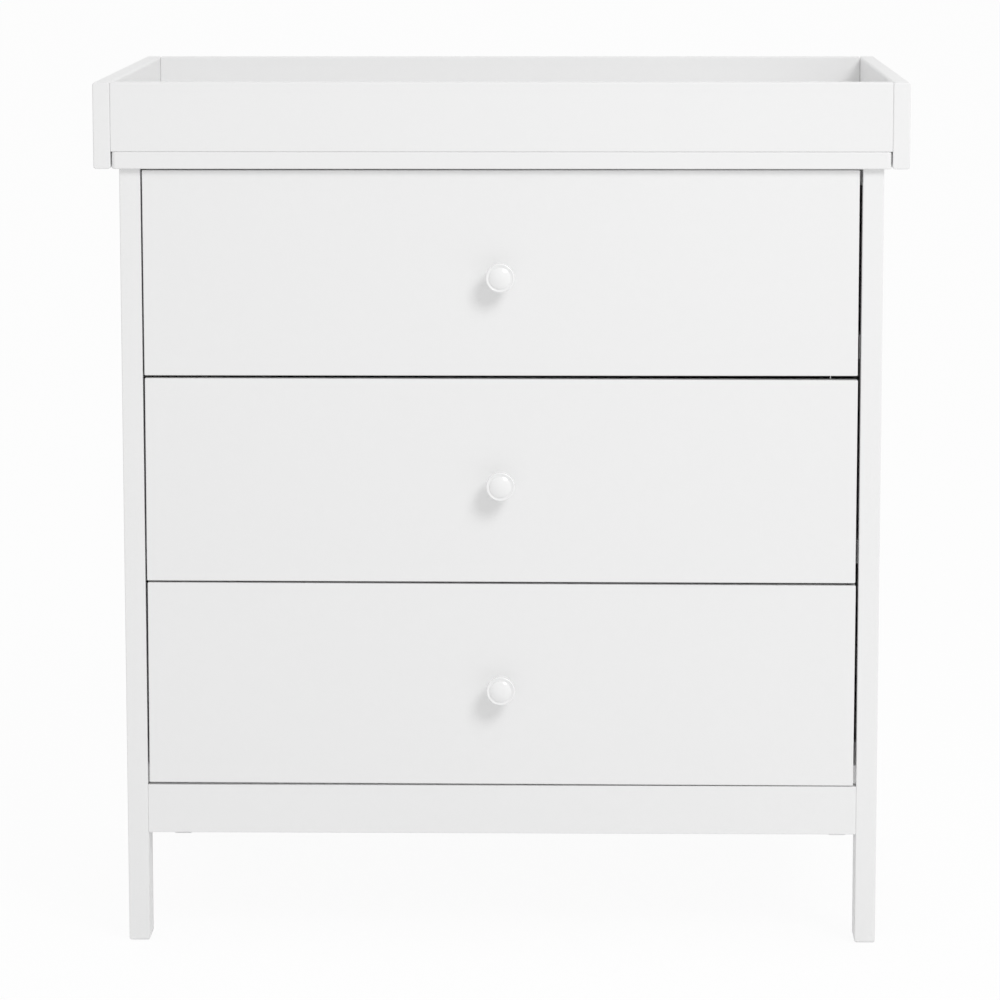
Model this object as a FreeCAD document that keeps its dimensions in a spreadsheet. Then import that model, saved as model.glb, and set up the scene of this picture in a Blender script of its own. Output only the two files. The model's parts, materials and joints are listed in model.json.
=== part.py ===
"""A changing dresser: a chest of three drawers on four legs, with a lift-off changing tray.

Millimetres, +Z up. The drawers open towards -Y. The origin lies on the floor, in the middle of
the dresser's width and halfway between the knobs' noses and the back edge of the top.
"""
import FreeCAD, Part
import os
import Sketcher

DOC = FreeCAD.newDocument("changing_dresser")
VECTOR = FreeCAD.Vector
NODES = {}
LEVELS = ("lower", "middle", "upper")

SIZES = (
    ("tray_width", "850", "tray, over its side boards"),
    ("tray_depth", "570", "tray and dresser top, front to back"),
    ("tray_board", "18", "thickness of the tray's boards"),
    ("tray_rail_height", "72", "height of the tray's walls above the dresser top"),
    ("tray_side_gap", "0.9", "play between a tray side board and the end of the top"),
    ("tray_ease", "1.2", "eased edges of the tray's boards"),
    ("tray_edge", "3", "rounding along the tray's side boards"),
    ("top_thickness", "18", "dresser top"),
    ("top_corner", "4.5", "radius of the top's upright corners"),
    ("top_ease", "1.5", "eased edges of the top"),
    ("side_overhang", "7.1", "top past the posts, each side"),
    ("front_overhang", "8", "top past the posts, in front"),
    ("back_overhang", "8", "top past the posts, behind"),
    ("carcass_height", "828", "floor to the underside of the top"),
    ("post_width", "22", "posts, seen from the front"),
    ("post_depth", "43", "posts, seen from the side"),
    ("post_ease", "1", "eased edges of the posts"),
    ("side_panel", "16", "thickness of the side panels"),
    ("leg_clearance", "119.3", "floor to the lower edge of the apron and side panels"),
    ("apron_height", "52", "apron and lower back rail"),
    ("rail_thickness", "18", "apron and rails"),
    ("rail_ease", "0.8", "eased edges of the apron and rails"),
    ("rail_width", "60", "upper rails, which lie flat under the top"),
    ("rail_setback", "18", "upper front rail, behind the posts' front faces"),
    ("back_panel", "3", "thickness of the back panel"),
    ("panel_play", "0.5", "play at each edge of the back panel and drawer bottoms"),
    ("glide_diameter", "18", "foot glides"),
    ("glide_height", "1", "foot glides"),
    ("glide_pin", "2.4", "diameter of a glide's pin"),
    ("glide_pin_length", "10", "a glide's pin, above the glide"),
    ("drawer_gap", "2.3", "gap above and below each drawer front"),
    ("drawer_side_gap", "2.5", "gap beside the drawer fronts"),
    ("front_thickness", "16", "drawer fronts"),
    ("front_ease", "1.2", "eased edges of the drawer fronts"),
    ("box_clearance", "17", "drawer boxes to the lower back rail"),
    ("box_side", "12", "thickness of the drawer sides and backs"),
    ("box_height", "150", "height of the drawer sides"),
    ("box_lift", "20", "drawer sides above the lower edge of the front"),
    ("box_ease", "1", "eased edges of the drawer sides and backs"),
    ("bottom_thickness", "3", "drawer bottoms"),
    ("bottom_lift", "10", "drawer bottom's groove above the sides' lower edges"),
    ("groove_depth", "6", "grooves that hold the drawer bottoms"),
    ("knob_diameter", "30", "knobs"),
    ("knob_reach", "28", "knobs, out from the drawer front"),
    ("knob_drop", "2.9", "knobs below the middle of the drawer fronts"),
    ("knob_neck", "15", "diameter of the knob's neck"),
    ("knob_neck_length", "8", "knob's straight neck"),
    ("knob_flare", "12", "radius of the hollow from the knob's neck to its rim"),
    ("knob_rim_start", "17.5", "where the knob reaches its full diameter"),
    ("knob_bead_start", "23.8", "where the knob's rim starts to round over"),
    ("knob_rim_top", "25", "top of the knob's rim, out from the drawer front"),
    ("knob_crest", "27.6", "diameter of the crest of the knob's rim"),
    ("knob_groove_outside", "24.4", "diameter where the rim's slope meets the groove"),
    ("knob_groove_depth", "0.8", "groove under the crest of the rim"),
    ("knob_dome", "22.2", "diameter of the dome inside the groove"),
    ("knob_dome_rise", "2.9", "knob's dome, from its edge to its middle"),
    ("runner_space", "12.5", "between a side panel and a drawer side"),
    ("runner_setback", "18", "cabinet runners behind the posts' front faces"),
    ("runner_sheet", "1.2", "steel of the runners"),
    ("runner_drop", "3", "drawer side's lower edge above the runner's lower edge"),
    ("track_reach", "10.6", "track that carries the drawer's rear rollers"),
    ("lip_reach", "7", "cabinet runner's upper lip"),
    ("lip_gap", "3.5", "side panel to the edge of the drawer runner's lip"),
    ("lip_clearance", "1.5", "drawer runner's lip below the cabinet runner's lip"),
    ("flange_reach", "10", "drawer runner's flange under the drawer side"),
    ("runner_end_play", "1", "drawer runner short of the box at each end"),
    ("roller_diameter", "19", "runner rollers"),
    ("roller_width", "6", "runner rollers"),
    ("roller_edge", "0.6", "chamfers of the rollers"),
    ("roller_inset", "16", "roller axles from the ends of the runners"),
    ("roller_lift", "1", "cabinet roller above its own track"),
    ("axle_diameter", "5", "roller axles"),
    ("axle_head", "8", "diameter of the axles' shoulders and heads"),
    ("axle_head_length", "0.7", "axles' heads"),
    ("roller_side_play", "0.3", "roller along its axle, each side"),
    ("running_gap", "0.05", "roller bore on its axle, all round"),
    ("fit_gap", "0.1", "holes and grooves around what they hold"),
    ("roll_gap", "0.1", "roller to what rolls on it"),
    ("cam_diameter", "15", "cam locks"),
    ("cam_setback", "24", "cam lock's middle from the board's end"),
    ("cam_share_floor", "3", "wood left under a cam lock"),
    ("bolt_diameter", "6", "cam bolts"),
    ("bolt_neck", "3.6", "diameter of a cam bolt's neck"),
    ("bolt_neck_length", "6", "cam bolt's neck and head"),
    ("bolt_thread", "11", "cam bolt, into the board that it holds"),
    ("dowel_diameter", "8", "dowels between side panels and posts"),
    ("dowel_length", "30", "dowels between side panels and posts"),
    ("dowel_chamfer", "1", "dowels' ends"),
    ("dowel_in_post", "14", "dowel's depth in the post"),
    ("dowel_inset", "60", "end dowels from the ends of the side panels"),
    ("screw_diameter", "3.5", "runner screws"),
    ("screw_length", "13", "runner screws, under the head"),
    ("flange_screw_length", "9", "screws up into the drawer sides, under the head"),
    ("screw_head", "7", "diameter of the runner screws' heads"),
    ("screw_head_height", "1.8", "runner screws' heads"),
    ("long_screw_diameter", "4", "screws through the rails and drawer sides"),
    ("long_screw_length", "28", "screws through the rails and drawer sides, under the head"),
    ("long_screw_head", "7.6", "diameter of the long screws' heads"),
    ("long_screw_head_height", "2.4", "long screws' heads"),
    ("knob_screw_length", "28", "knob screws, under the head"),
    ("nail_diameter", "1.6", "nails of the back panel and drawer bottoms"),
    ("nail_length", "11", "nails, under the head"),
    ("nail_head", "4", "diameter of the nails' heads"),
    ("nail_head_height", "0.6", "nails' heads"),
    ("strap_hole", "4", "diameter of the holes for a wall strap"),
    ("strap_hole_spacing", "32", "between the two holes for a wall strap"),
    ("strap_hole_depth", "30", "holes for a wall strap, through the panel into the rail"),
)

PLACES = (
    ("face", "Size.knob_reach - (Size.tray_depth - Size.front_overhang + Size.knob_reach) / 2"),
    ("top_front", "At.face - Size.front_overhang"),
    ("top_back", "At.top_front + Size.tray_depth"),
    ("rear", "At.top_back - Size.back_overhang"),
    ("rail_rear", "At.rear - Size.back_panel"),
    ("front_post_back", "At.face + Size.post_depth"),
    ("rear_post_front", "At.rear - Size.post_depth"),
    ("top_half", "Size.tray_width / 2 - Size.tray_board - Size.tray_side_gap"),
    ("post_half", "At.top_half - Size.side_overhang"),
    ("inner", "At.post_half - Size.post_width"),
    ("top_face", "Size.carcass_height + Size.top_thickness"),
    ("panel_height", "Size.carcass_height - Size.leg_clearance"),
    ("panel_depth", "At.rear_post_front - At.front_post_back"),
    ("side_middle", "Size.side_panel / 2"),
    ("rail_level", "Size.carcass_height - Size.rail_thickness / 2"),
    ("apron_level", "Size.leg_clearance + Size.apron_height / 2"),
    ("front_rail_bolt", "(Size.rail_setback + Size.post_depth) / 2"),
    ("opening_floor", "Size.leg_clearance + Size.apron_height"),
    ("front_height", "(Size.carcass_height - At.opening_floor - 4 * Size.drawer_gap) / 3"),
    ("front_half", "At.inner - Size.drawer_side_gap"),
    ("drawer_pitch", "At.front_height + Size.drawer_gap"),
    ("knob_level", "At.front_height / 2 - Size.knob_drop"),
    ("box_front", "At.face + Size.front_thickness"),
    ("box_back", "At.rail_rear - Size.rail_thickness - Size.box_clearance"),
    ("box_length", "At.box_back - At.box_front"),
    ("box_half", "At.inner - Size.runner_space"),
    ("box_inner", "At.box_half - Size.box_side"),
    ("groove_height", "Size.bottom_thickness + 2 * Size.fit_gap"),
    ("bottom_top", "Size.bottom_lift + Size.fit_gap + Size.bottom_thickness"),
    ("bottom_tongue", "Size.groove_depth - Size.panel_play"),
    ("back_height", "Size.box_height - At.bottom_top - Size.fit_gap"),
    ("low_bolt", "Size.box_height * 0.25"),
    ("high_bolt", "Size.box_height * 0.75"),
    ("low_screw", "At.bottom_top + At.back_height * 0.25"),
    ("high_screw", "At.bottom_top + At.back_height * 0.75"),
    ("roller_radius", "Size.roller_diameter / 2"),
    ("cabinet_axle", "Size.runner_sheet + Size.roller_lift + At.roller_radius"),
    ("drawer_axle", "Size.runner_sheet + Size.roll_gap + At.roller_radius"),
    ("lip_underside", "At.cabinet_axle + At.roller_radius + Size.roll_gap"),
    ("channel_height", "At.lip_underside + 2 * Size.runner_sheet + Size.lip_clearance"),
    ("drawer_runner_start", "Size.runner_drop - Size.runner_sheet"),
    ("drawer_runner_height", "At.lip_underside + Size.runner_sheet - At.drawer_runner_start"),
    ("drawer_runner_length", "At.box_length - 2 * Size.runner_end_play"),
    ("web", "Size.runner_space - Size.lip_gap"),
    ("axle_length", "Size.roller_width + 2 * Size.roller_side_play"),
    ("cabinet_shoulder", "Size.lip_gap - Size.runner_sheet - Size.roller_side_play"),
    ("drawer_shoulder", "At.web - Size.runner_sheet - At.axle_length - Size.axle_head_length"),
    ("first_hole", "At.box_length * 0.1"),
    ("middle_hole", "At.box_length * 0.5"),
    ("last_hole", "At.box_length * 0.9"),
    ("first_flange_hole", "At.drawer_runner_length * 0.15"),
    ("last_flange_hole", "At.drawer_runner_length * 0.85"),
    ("screw_spread", "At.inner * 0.7"),
    ("nail_spread", "At.inner * 0.3"),
    ("wide_nail_spread", "At.inner * 0.85"),
    ("hole_level", "At.channel_height / 2"),
    ("dowel_in_panel", "Size.dowel_length - Size.dowel_in_post"),
)


def make_sheet():
    """The driving dimensions, each a cell that its alias names."""
    sheet = DOC.addObject("Spreadsheet::Sheet", "Size")
    for row, (alias, value, note) in enumerate(SIZES, start=1):
        sheet.set(f"A{row}", note)
        sheet.set(f"B{row}", value)
        sheet.setAlias(f"B{row}", alias)
    DOC.recompute()
    return sheet


def make_places():
    """The places and sizes that follow from the driving dimensions."""
    places = DOC.addObject("App::VarSet", "At")
    for name, expression in PLACES:
        places.addProperty("App::PropertyFloat", name)
        places.setExpression(name, expression)
    DOC.recompute()
    return places


make_sheet()
AT = make_places()


def value(expression):
    """What an expression comes to now, as a starting value for a sketch."""
    return float(AT.evalExpression(expression))


def put(item, x, y, z, rotation=None):
    """Bind an object's place to expressions."""
    for axis, expression in zip("xyz", (x, y, z)):
        item.setExpression(f"Placement.Base.{axis}", expression)
    if rotation:
        item.Placement.Rotation = rotation


def name_node(item, label):
    """Enter a finished piece under the name of its file."""
    item.Label = label
    NODES[label] = item
    return item


def pin_point(sketch, geometry, end, place):
    """Fix a sketch point at a pair of expressions."""
    for kind, axis, expression in zip(("DistanceX", "DistanceY"), (-2, -1), place):
        if expression == "0":
            sketch.addConstraint(Sketcher.Constraint("PointOnObject", geometry, end, axis))
        else:
            number = sketch.addConstraint(
                Sketcher.Constraint(kind, -1, 1, geometry, end, value(expression))
            )
            sketch.setExpression(f"Constraints[{number}]", expression)


class Piece:
    """A PartDesign body whose corner or middle lies at its placement.

    A sketch is named by the axis that it faces: on x its sides run along y and z, on y along x
    and z, and on z along x and y. "at" is its place on that axis, and toward is +1 or -1 for
    the way in which a pad grows or a cut goes.
    """

    ROLES = {"x": "YZ_Plane", "y": "XZ_Plane", "z": "XY_Plane"}

    def __init__(self, name, x, y, z, rotation=None):
        self.body = DOC.addObject("PartDesign::Body", name)
        put(self.body, x, y, z, rotation)

    def sketch(self, axis, at):
        """An empty sketch on one of the body's own origin planes."""
        sketch = self.body.newObject("Sketcher::SketchObject", "sketch")
        planes = self.body.Origin.OriginFeatures
        plane = next(p for p in planes if p.Role == self.ROLES[axis])
        sketch.AttachmentSupport = [(plane, "")]
        sketch.MapMode = "FlatFace"
        sketch.setExpression("AttachmentOffset.Base.z", f"-({at})" if axis == "y" else at)
        return sketch

    def outline(self, axis, at, corners):
        """A closed outline. A corner is (u, v), or (u, v, radius, side) where an arc ends."""
        sketch = self.sketch(axis, at)
        points = [VECTOR(value(c[0]), value(c[1]), 0) for c in corners]
        ends = []
        for index, corner in enumerate(corners):
            start, end = points[index - 1], points[index]
            if len(corner) == 2:
                sketch.addGeometry(Part.LineSegment(start, end))
                ends.append((1, 2))
                continue
            radius, side = value(corner[2]), corner[3]
            half = (end - start) * 0.5
            rise = radius - (radius**2 - half.Length**2) ** 0.5
            across = VECTOR(half.y, -half.x, 0).normalize() * side
            sketch.addGeometry(Part.Arc(start, start + half + across * rise, end))
            ends.append((1, 2) if side > 0 else (2, 1))
        for index, corner in enumerate(corners):
            following = (index + 1) % len(corners)
            last, first = ends[index][1], ends[following][0]
            sketch.addConstraint(Sketcher.Constraint("Coincident", index, last, following, first))
            pin_point(sketch, index, last, corner[:2])
            if len(corner) > 2:
                number = sketch.addConstraint(
                    Sketcher.Constraint("Radius", index, value(corner[2]))
                )
                sketch.setExpression(f"Constraints[{number}]", corner[2])
        return sketch

    def rectangle(self, axis, at, low, high):
        """An upright rectangle between two opposite corners."""
        (u0, v0), (u1, v1) = low, high
        return self.outline(axis, at, [(u0, v0), (u1, v0), (u1, v1), (u0, v1)])

    def circles(self, axis, at, diameter, middles):
        """Equal circles around the given middles."""
        sketch = self.sketch(axis, at)
        for index, (u, v) in enumerate(middles):
            middle = VECTOR(value(u), value(v), 0)
            sketch.addGeometry(Part.Circle(middle, VECTOR(0, 0, 1), value(diameter) / 2))
            pin_point(sketch, index, 3, (u, v))
            number = sketch.addConstraint(Sketcher.Constraint("Diameter", index, value(diameter)))
            sketch.setExpression(f"Constraints[{number}]", diameter)
        return sketch

    def pad(self, axis, sketch, length, toward=1):
        """Grow solid from a sketch."""
        pad = self.body.newObject("PartDesign::Pad", "pad")
        pad.Profile = sketch
        pad.Reversed = (toward > 0) == (axis == "y")
        pad.setExpression("Length", length)
        DOC.recompute()
        return pad

    def cut(self, axis, sketch, depth, toward=1):
        """Cut into the solid from a sketch."""
        cut = self.body.newObject("PartDesign::Pocket", "cut")
        cut.Profile = sketch
        cut.Reversed = (toward > 0) != (axis == "y")
        cut.setExpression("Length", depth)
        DOC.recompute()
        return cut

    def drill(self, axis, at, diameter, depth, middles, toward=1):
        """Round holes."""
        return self.cut(axis, self.circles(axis, at, diameter, middles), depth, toward)

    def turn(self, corners):
        """A turned shape about the body's own Z axis: u is the radius and v the height."""
        sketch = self.outline("y", "0", corners)
        turned = self.body.newObject("PartDesign::Revolution", "turning")
        turned.Profile = sketch
        turned.ReferenceAxis = (sketch, ["V_Axis"])
        DOC.recompute()
        return turned

    def ease(self, radius):
        """Round every edge that the piece has so far."""
        return self.round_edges(radius, lambda edge: True)

    def round_edges(self, radius, wanted):
        """Round the edges that pass a test."""
        base = self.body.Tip
        edges = enumerate(base.Shape.Edges, start=1)
        names = [f"Edge{number}" for number, edge in edges if wanted(edge)]
        fillet = self.body.newObject("PartDesign::Fillet", "round")
        fillet.Base = (base, names)
        fillet.setExpression("Radius", radius)
        DOC.recompute()
        return fillet

    def node(self, label):
        """Finish the piece as a sub-part."""
        return name_node(self.body, label)


def board(name, corner, size, ease=None, rotation=None):
    """A plain board: its near low corner, and its size along x, y and z."""
    piece = Piece(name, *corner, rotation)
    outline = piece.rectangle("z", "0", ("0", "0"), (size[0], size[1]))
    piece.pad("z", outline, size[2])
    if ease:
        piece.ease(ease)
    return piece


def upright(edge):
    """Whether a straight edge runs along Z."""
    return edge.Curve.TypeId == "Part::GeomLine" and abs(edge.tangentAt(0).z) > 0.99


def mirror_node(source, label):
    """The same piece on the other side of the dresser."""
    other = DOC.addObject("Part::Mirroring", label)
    other.Source = source
    other.Normal = VECTOR(1, 0, 0)
    DOC.recompute()
    return name_node(other, label)


def copies(master, places, rotation=None):
    """Links to a master piece at several places."""
    links = []
    for x, y, z in places:
        link = DOC.addObject("App::Link", f"{master.Name}_copy")
        link.LinkedObject = master
        put(link, x, y, z, rotation)
        links.append(link)
    return links


def gather(name, parts):
    """One compound of several loose solids."""
    compound = DOC.addObject("Part::Compound", name)
    compound.Links = parts
    DOC.recompute()
    return compound


def mirrored(name, parts):
    """The given solids and their mirror images on the other side of the dresser."""
    one_side = gather(f"{name}_left", parts)
    other_side = DOC.addObject("Part::Mirroring", f"{name}_right")
    other_side.Source = one_side
    other_side.Normal = VECTOR(1, 0, 0)
    DOC.recompute()
    return [one_side, other_side]


# Turns that lay a fastener, whose own axis is Z, along the dresser's axes.
TO_LEFT = FreeCAD.Rotation(VECTOR(0, 1, 0), -90)
TO_RIGHT = FreeCAD.Rotation(VECTOR(0, 1, 0), 90)
TO_FRONT = FreeCAD.Rotation(VECTOR(1, 0, 0), 90)
TO_BACK = FreeCAD.Rotation(VECTOR(1, 0, 0), -90)
UPSIDE_DOWN = FreeCAD.Rotation(VECTOR(1, 0, 0), 180)


def screw(name, shank, length, head, head_height):
    """A screw or nail that stands on its head: the head's outer face is at Z 0."""
    piece = Piece(name, "0", "0", "0")
    piece.turn([
        ("0", "0"),
        (f"{head} / 2", "0"),
        (f"{head} / 2", head_height),
        (f"{shank} / 2", head_height),
        (f"{shank} / 2", f"{head_height} + {length}"),
        ("0", f"{head_height} + {length}"),
    ])
    return piece.body


def dowel(name):
    """A dowel with chamfered ends, on end at Z 0."""
    piece = Piece(name, "0", "0", "0")
    radius = "Size.dowel_diameter / 2"
    neck = f"{radius} - Size.dowel_chamfer"
    piece.turn([
        ("0", "0"),
        (neck, "0"),
        (radius, "Size.dowel_chamfer"),
        (radius, "Size.dowel_length - Size.dowel_chamfer"),
        (neck, "Size.dowel_length"),
        ("0", "Size.dowel_length"),
    ])
    return piece.body


def cam_fitting(name, board_thickness):
    """A cam lock and its bolt. The joint is at X 0, the board with the cam towards +X.

    The bolt lies in the middle of the board's thickness, and the cam opens towards +Z.
    """
    bolt = Piece(f"{name}_bolt", "-Size.bolt_thread", "0", "0", TO_RIGHT)
    reach = "Size.bolt_thread + Size.cam_setback"
    bolt.turn([
        ("0", "0"),
        ("Size.bolt_diameter / 2", "0"),
        ("Size.bolt_diameter / 2", f"{reach} - Size.bolt_neck_length"),
        ("Size.bolt_neck / 2", f"{reach} - Size.bolt_neck_length"),
        ("Size.bolt_neck / 2", f"{reach} - Size.bolt_neck_length / 3"),
        ("Size.bolt_diameter / 2", f"{reach} - Size.bolt_neck_length / 3"),
        ("Size.bolt_diameter / 2", reach),
        ("0", reach),
    ])
    depth = f"({board_thickness} - Size.cam_share_floor)"
    cam = Piece(f"{name}_cam", "Size.cam_setback", "0", f"{board_thickness} / 2 - {depth}")
    cam.pad("z", cam.circles("z", "0", "Size.cam_diameter", [("0", "0")]), depth)
    slot_half = "(Size.bolt_diameter / 2 + Size.fit_gap)"
    slot_top = f"{depth} - {board_thickness} / 2 + {slot_half}"
    slot = cam.rectangle(
        "x", "-Size.cam_diameter / 2", (f"-{slot_half}", "0"), (slot_half, slot_top)
    )
    cam.cut("x", slot, "Size.cam_diameter / 2 + Size.fit_gap")
    return gather(name, [bolt.body, cam.body])


FASTENERS = {
    "runner_screw": screw(
        "runner_screw", "Size.screw_diameter", "Size.screw_length",
        "Size.screw_head", "Size.screw_head_height",
    ),
    "flange_screw": screw(
        "flange_screw", "Size.screw_diameter", "Size.flange_screw_length",
        "Size.screw_head", "Size.screw_head_height",
    ),
    "long_screw": screw(
        "long_screw", "Size.long_screw_diameter", "Size.long_screw_length",
        "Size.long_screw_head", "Size.long_screw_head_height",
    ),
    "knob_screw": screw(
        "knob_screw", "Size.long_screw_diameter", "Size.knob_screw_length",
        "Size.long_screw_head", "Size.long_screw_head_height",
    ),
    "nail": screw(
        "nail", "Size.nail_diameter", "Size.nail_length", "Size.nail_head", "Size.nail_head_height"
    ),
    "glide": screw(
        "glide", "Size.glide_pin", "Size.glide_pin_length",
        "Size.glide_diameter", "Size.glide_height",
    ),
    "dowel": dowel("dowel"),
    "rail_cam": cam_fitting("rail_cam", "Size.rail_thickness"),
    "tray_cam": cam_fitting("tray_cam", "Size.tray_board"),
    "box_cam": cam_fitting("box_cam", "Size.box_side"),
}

BOLT_HOLE = "Size.bolt_diameter + 2 * Size.fit_gap"
CAM_HOLE = "Size.cam_diameter + 2 * Size.fit_gap"
SCREW_HOLE = "Size.screw_diameter + 2 * Size.fit_gap"
LONG_SCREW_HOLE = "Size.long_screw_diameter + 2 * Size.fit_gap"
LONG_SCREW_SEAT = "Size.long_screw_head + 2 * Size.fit_gap"
NAIL_HOLE = "Size.nail_diameter + 2 * Size.fit_gap"
BOLT_DEPTH = "Size.bolt_thread + Size.fit_gap"


def level_place(level, above_front="0"):
    """A height in one drawer's bay, above the lower edge of that drawer's front."""
    return f"At.opening_floor + Size.drawer_gap + {level} * At.drawer_pitch + {above_front}"


def track_place(level):
    """The lower edge of a level's cabinet runners."""
    return level_place(level, "Size.box_lift - Size.runner_drop")


def long_screw_in(first_board):
    """How deep a long screw goes into the second of two boards."""
    through = f"{first_board} + Size.fit_gap"
    return f"Size.long_screw_length + Size.long_screw_head_height + 2 * Size.fit_gap - ({through})"


def drill_cam_ends(rail, cut_axis, cut_at, cut_toward, across, thickness, length):
    """Holes at both ends of a rail for its cam locks and their bolts.

    The locks go in along the cut axis, and across gives the bolt's place in the rail's section.
    """
    other = across[0] if cut_axis == "z" else across[1]
    middles = [("Size.cam_setback", other), (f"{length} - Size.cam_setback", other)]
    depth = f"{thickness} - Size.cam_share_floor"
    rail.drill(cut_axis, cut_at, CAM_HOLE, depth, middles, cut_toward)
    rail.drill("x", "0", BOLT_HOLE, "Size.cam_setback", [across], 1)
    rail.drill("x", length, BOLT_HOLE, "Size.cam_setback", [across], -1)


def lengthwise(edge):
    """Whether a straight edge runs along Y."""
    return edge.Curve.TypeId == "Part::GeomLine" and abs(edge.tangentAt(0).y) > 0.99


def top_panel():
    """The dresser's top, screwed down from below through the upper rails."""
    top = board(
        "top",
        ("-At.top_half", "At.top_front", "Size.carcass_height"),
        ("2 * At.top_half", "Size.tray_depth", "Size.top_thickness"),
    )
    top.round_edges("Size.top_corner", upright)
    top.round_edges("Size.top_ease", lambda edge: edge.BoundBox.ZLength < 1e-6)
    front_row = "Size.front_overhang + Size.rail_setback + Size.rail_width / 2"
    back_row = "Size.tray_depth - Size.back_overhang - Size.back_panel - Size.rail_width / 2"
    columns = ("At.top_half - At.screw_spread", "At.top_half", "At.top_half + At.screw_spread")
    holes = [(x, y) for y in (front_row, back_row) for x in columns]
    top.drill("z", "0", LONG_SCREW_HOLE, long_screw_in("Size.rail_thickness"), holes, 1)
    top.node("top_panel")


def left_post(name, y, bolt_places, panel_side):
    """A post with its leg: bolt holes for two rails, dowel holes for the side panel.

    panel_side is +1 where the side panel stands behind the post, and -1 where it stands before.
    """
    post = board(
        name,
        ("-At.post_half", y, "Size.glide_height"),
        ("Size.post_width", "Size.post_depth", "Size.carcass_height - Size.glide_height"),
        "Size.post_ease",
    )
    bolts = [(across, f"{level} - Size.glide_height") for across, level in bolt_places]
    post.drill("x", "Size.post_width", BOLT_HOLE, BOLT_DEPTH, bolts, -1)
    shift = "Size.leg_clearance - Size.glide_height"
    dowels = [
        ("Size.post_width - At.side_middle", f"{shift} + {level}") for level in dowel_levels()
    ]
    dowel_hole = "Size.dowel_diameter + 2 * Size.fit_gap"
    face = "Size.post_depth" if panel_side > 0 else "0"
    post.drill("y", face, dowel_hole, "Size.dowel_in_post + Size.fit_gap", dowels, -panel_side)
    pin_hole = "Size.glide_pin + 2 * Size.fit_gap"
    pin = [("Size.post_width / 2", "Size.post_depth / 2")]
    post.drill("z", "0", pin_hole, "Size.glide_pin_length + Size.fit_gap", pin, 1)
    return post.node(name)


def dowel_levels():
    """The dowels' heights above the lower edge of a side panel."""
    return ("Size.dowel_inset", "At.panel_height / 2", "At.panel_height - Size.dowel_inset")


def posts():
    """The four posts, whose lower ends are the legs."""
    front_bolts = (
        ("Size.rail_thickness / 2", "At.apron_level"), ("At.front_rail_bolt", "At.rail_level"),
    )
    back_bolts = (
        ("Size.post_depth - Size.back_panel - Size.rail_thickness / 2", "At.apron_level"),
        ("(Size.post_depth - Size.back_panel) / 2", "At.rail_level"),
    )
    mirror_node(left_post("front_left_post", "At.face", front_bolts, 1), "front_right_post")
    mirror_node(left_post("back_left_post", "At.rear_post_front", back_bolts, -1), "back_right_post")


def side_panels():
    """The panels between the posts at each side, which carry the cabinet runners."""
    panel = board(
        "side_panel",
        ("-(At.inner + Size.side_panel)", "At.front_post_back", "Size.leg_clearance"),
        ("Size.side_panel", "At.panel_depth", "At.panel_height"),
        "Size.rail_ease",
    )
    dowels = [("At.side_middle", level) for level in dowel_levels()]
    depth = "At.dowel_in_panel + Size.fit_gap"
    hole = "Size.dowel_diameter + 2 * Size.fit_gap"
    panel.drill("y", "0", hole, depth, dowels, 1)
    panel.drill("y", "At.panel_depth", hole, depth, dowels, -1)
    start = "Size.runner_setback - Size.post_depth"
    screws = [
        (f"{start} + {y}", f"{track_place(level)} + At.hole_level - Size.leg_clearance")
        for level in range(len(LEVELS))
        for y in ("At.first_hole", "At.middle_hole", "At.last_hole")
    ]
    screw_depth = "Size.screw_length - Size.runner_sheet + Size.fit_gap"
    panel.drill("x", "Size.side_panel", SCREW_HOLE, screw_depth, screws, -1)
    mirror_node(panel.node("left_side_panel"), "right_side_panel")


def low_rail(name, y, open_side):
    """The apron or the lower back rail. Its cam locks open at its back (+1) or front (-1)."""
    length = "2 * At.inner"
    rail = board(
        name,
        ("-At.inner", y, "Size.leg_clearance"),
        (length, "Size.rail_thickness", "Size.apron_height"),
        "Size.rail_ease",
    )
    across = ("Size.rail_thickness / 2", "Size.apron_height / 2")
    opening = "Size.rail_thickness" if open_side > 0 else "0"
    drill_cam_ends(rail, "y", opening, -open_side, across, "Size.rail_thickness", length)
    return rail


def flat_rail(name, y, bolt_across):
    """An upper rail, which lies flat under the top and is screwed to it."""
    length = "2 * At.inner"
    rail = board(
        name,
        ("-At.inner", y, "Size.carcass_height - Size.rail_thickness"),
        (length, "Size.rail_width", "Size.rail_thickness"),
        "Size.rail_ease",
    )
    across = (bolt_across, "Size.rail_thickness / 2")
    drill_cam_ends(rail, "z", "0", 1, across, "Size.rail_thickness", length)
    columns = ("At.inner - At.screw_spread", "At.inner", "At.inner + At.screw_spread")
    screws = [(x, "Size.rail_width / 2") for x in columns]
    rail.drill("z", "0", LONG_SCREW_SEAT, "Size.long_screw_head_height + Size.fit_gap", screws, 1)
    rail.drill("z", "0", LONG_SCREW_HOLE, "Size.rail_thickness", screws, 1)
    return rail


def strap_holes(middle, level):
    """The middles of the two holes for a wall strap."""
    return [(f"{middle} {sign} Size.strap_hole_spacing / 2", level) for sign in "-+"]


def nail_columns(middle):
    """The nails' places across a panel."""
    spreads = ("At.nail_spread", "At.wide_nail_spread")
    return [f"{middle} {sign} {spread}" for spread in spreads for sign in "-+"]


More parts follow.
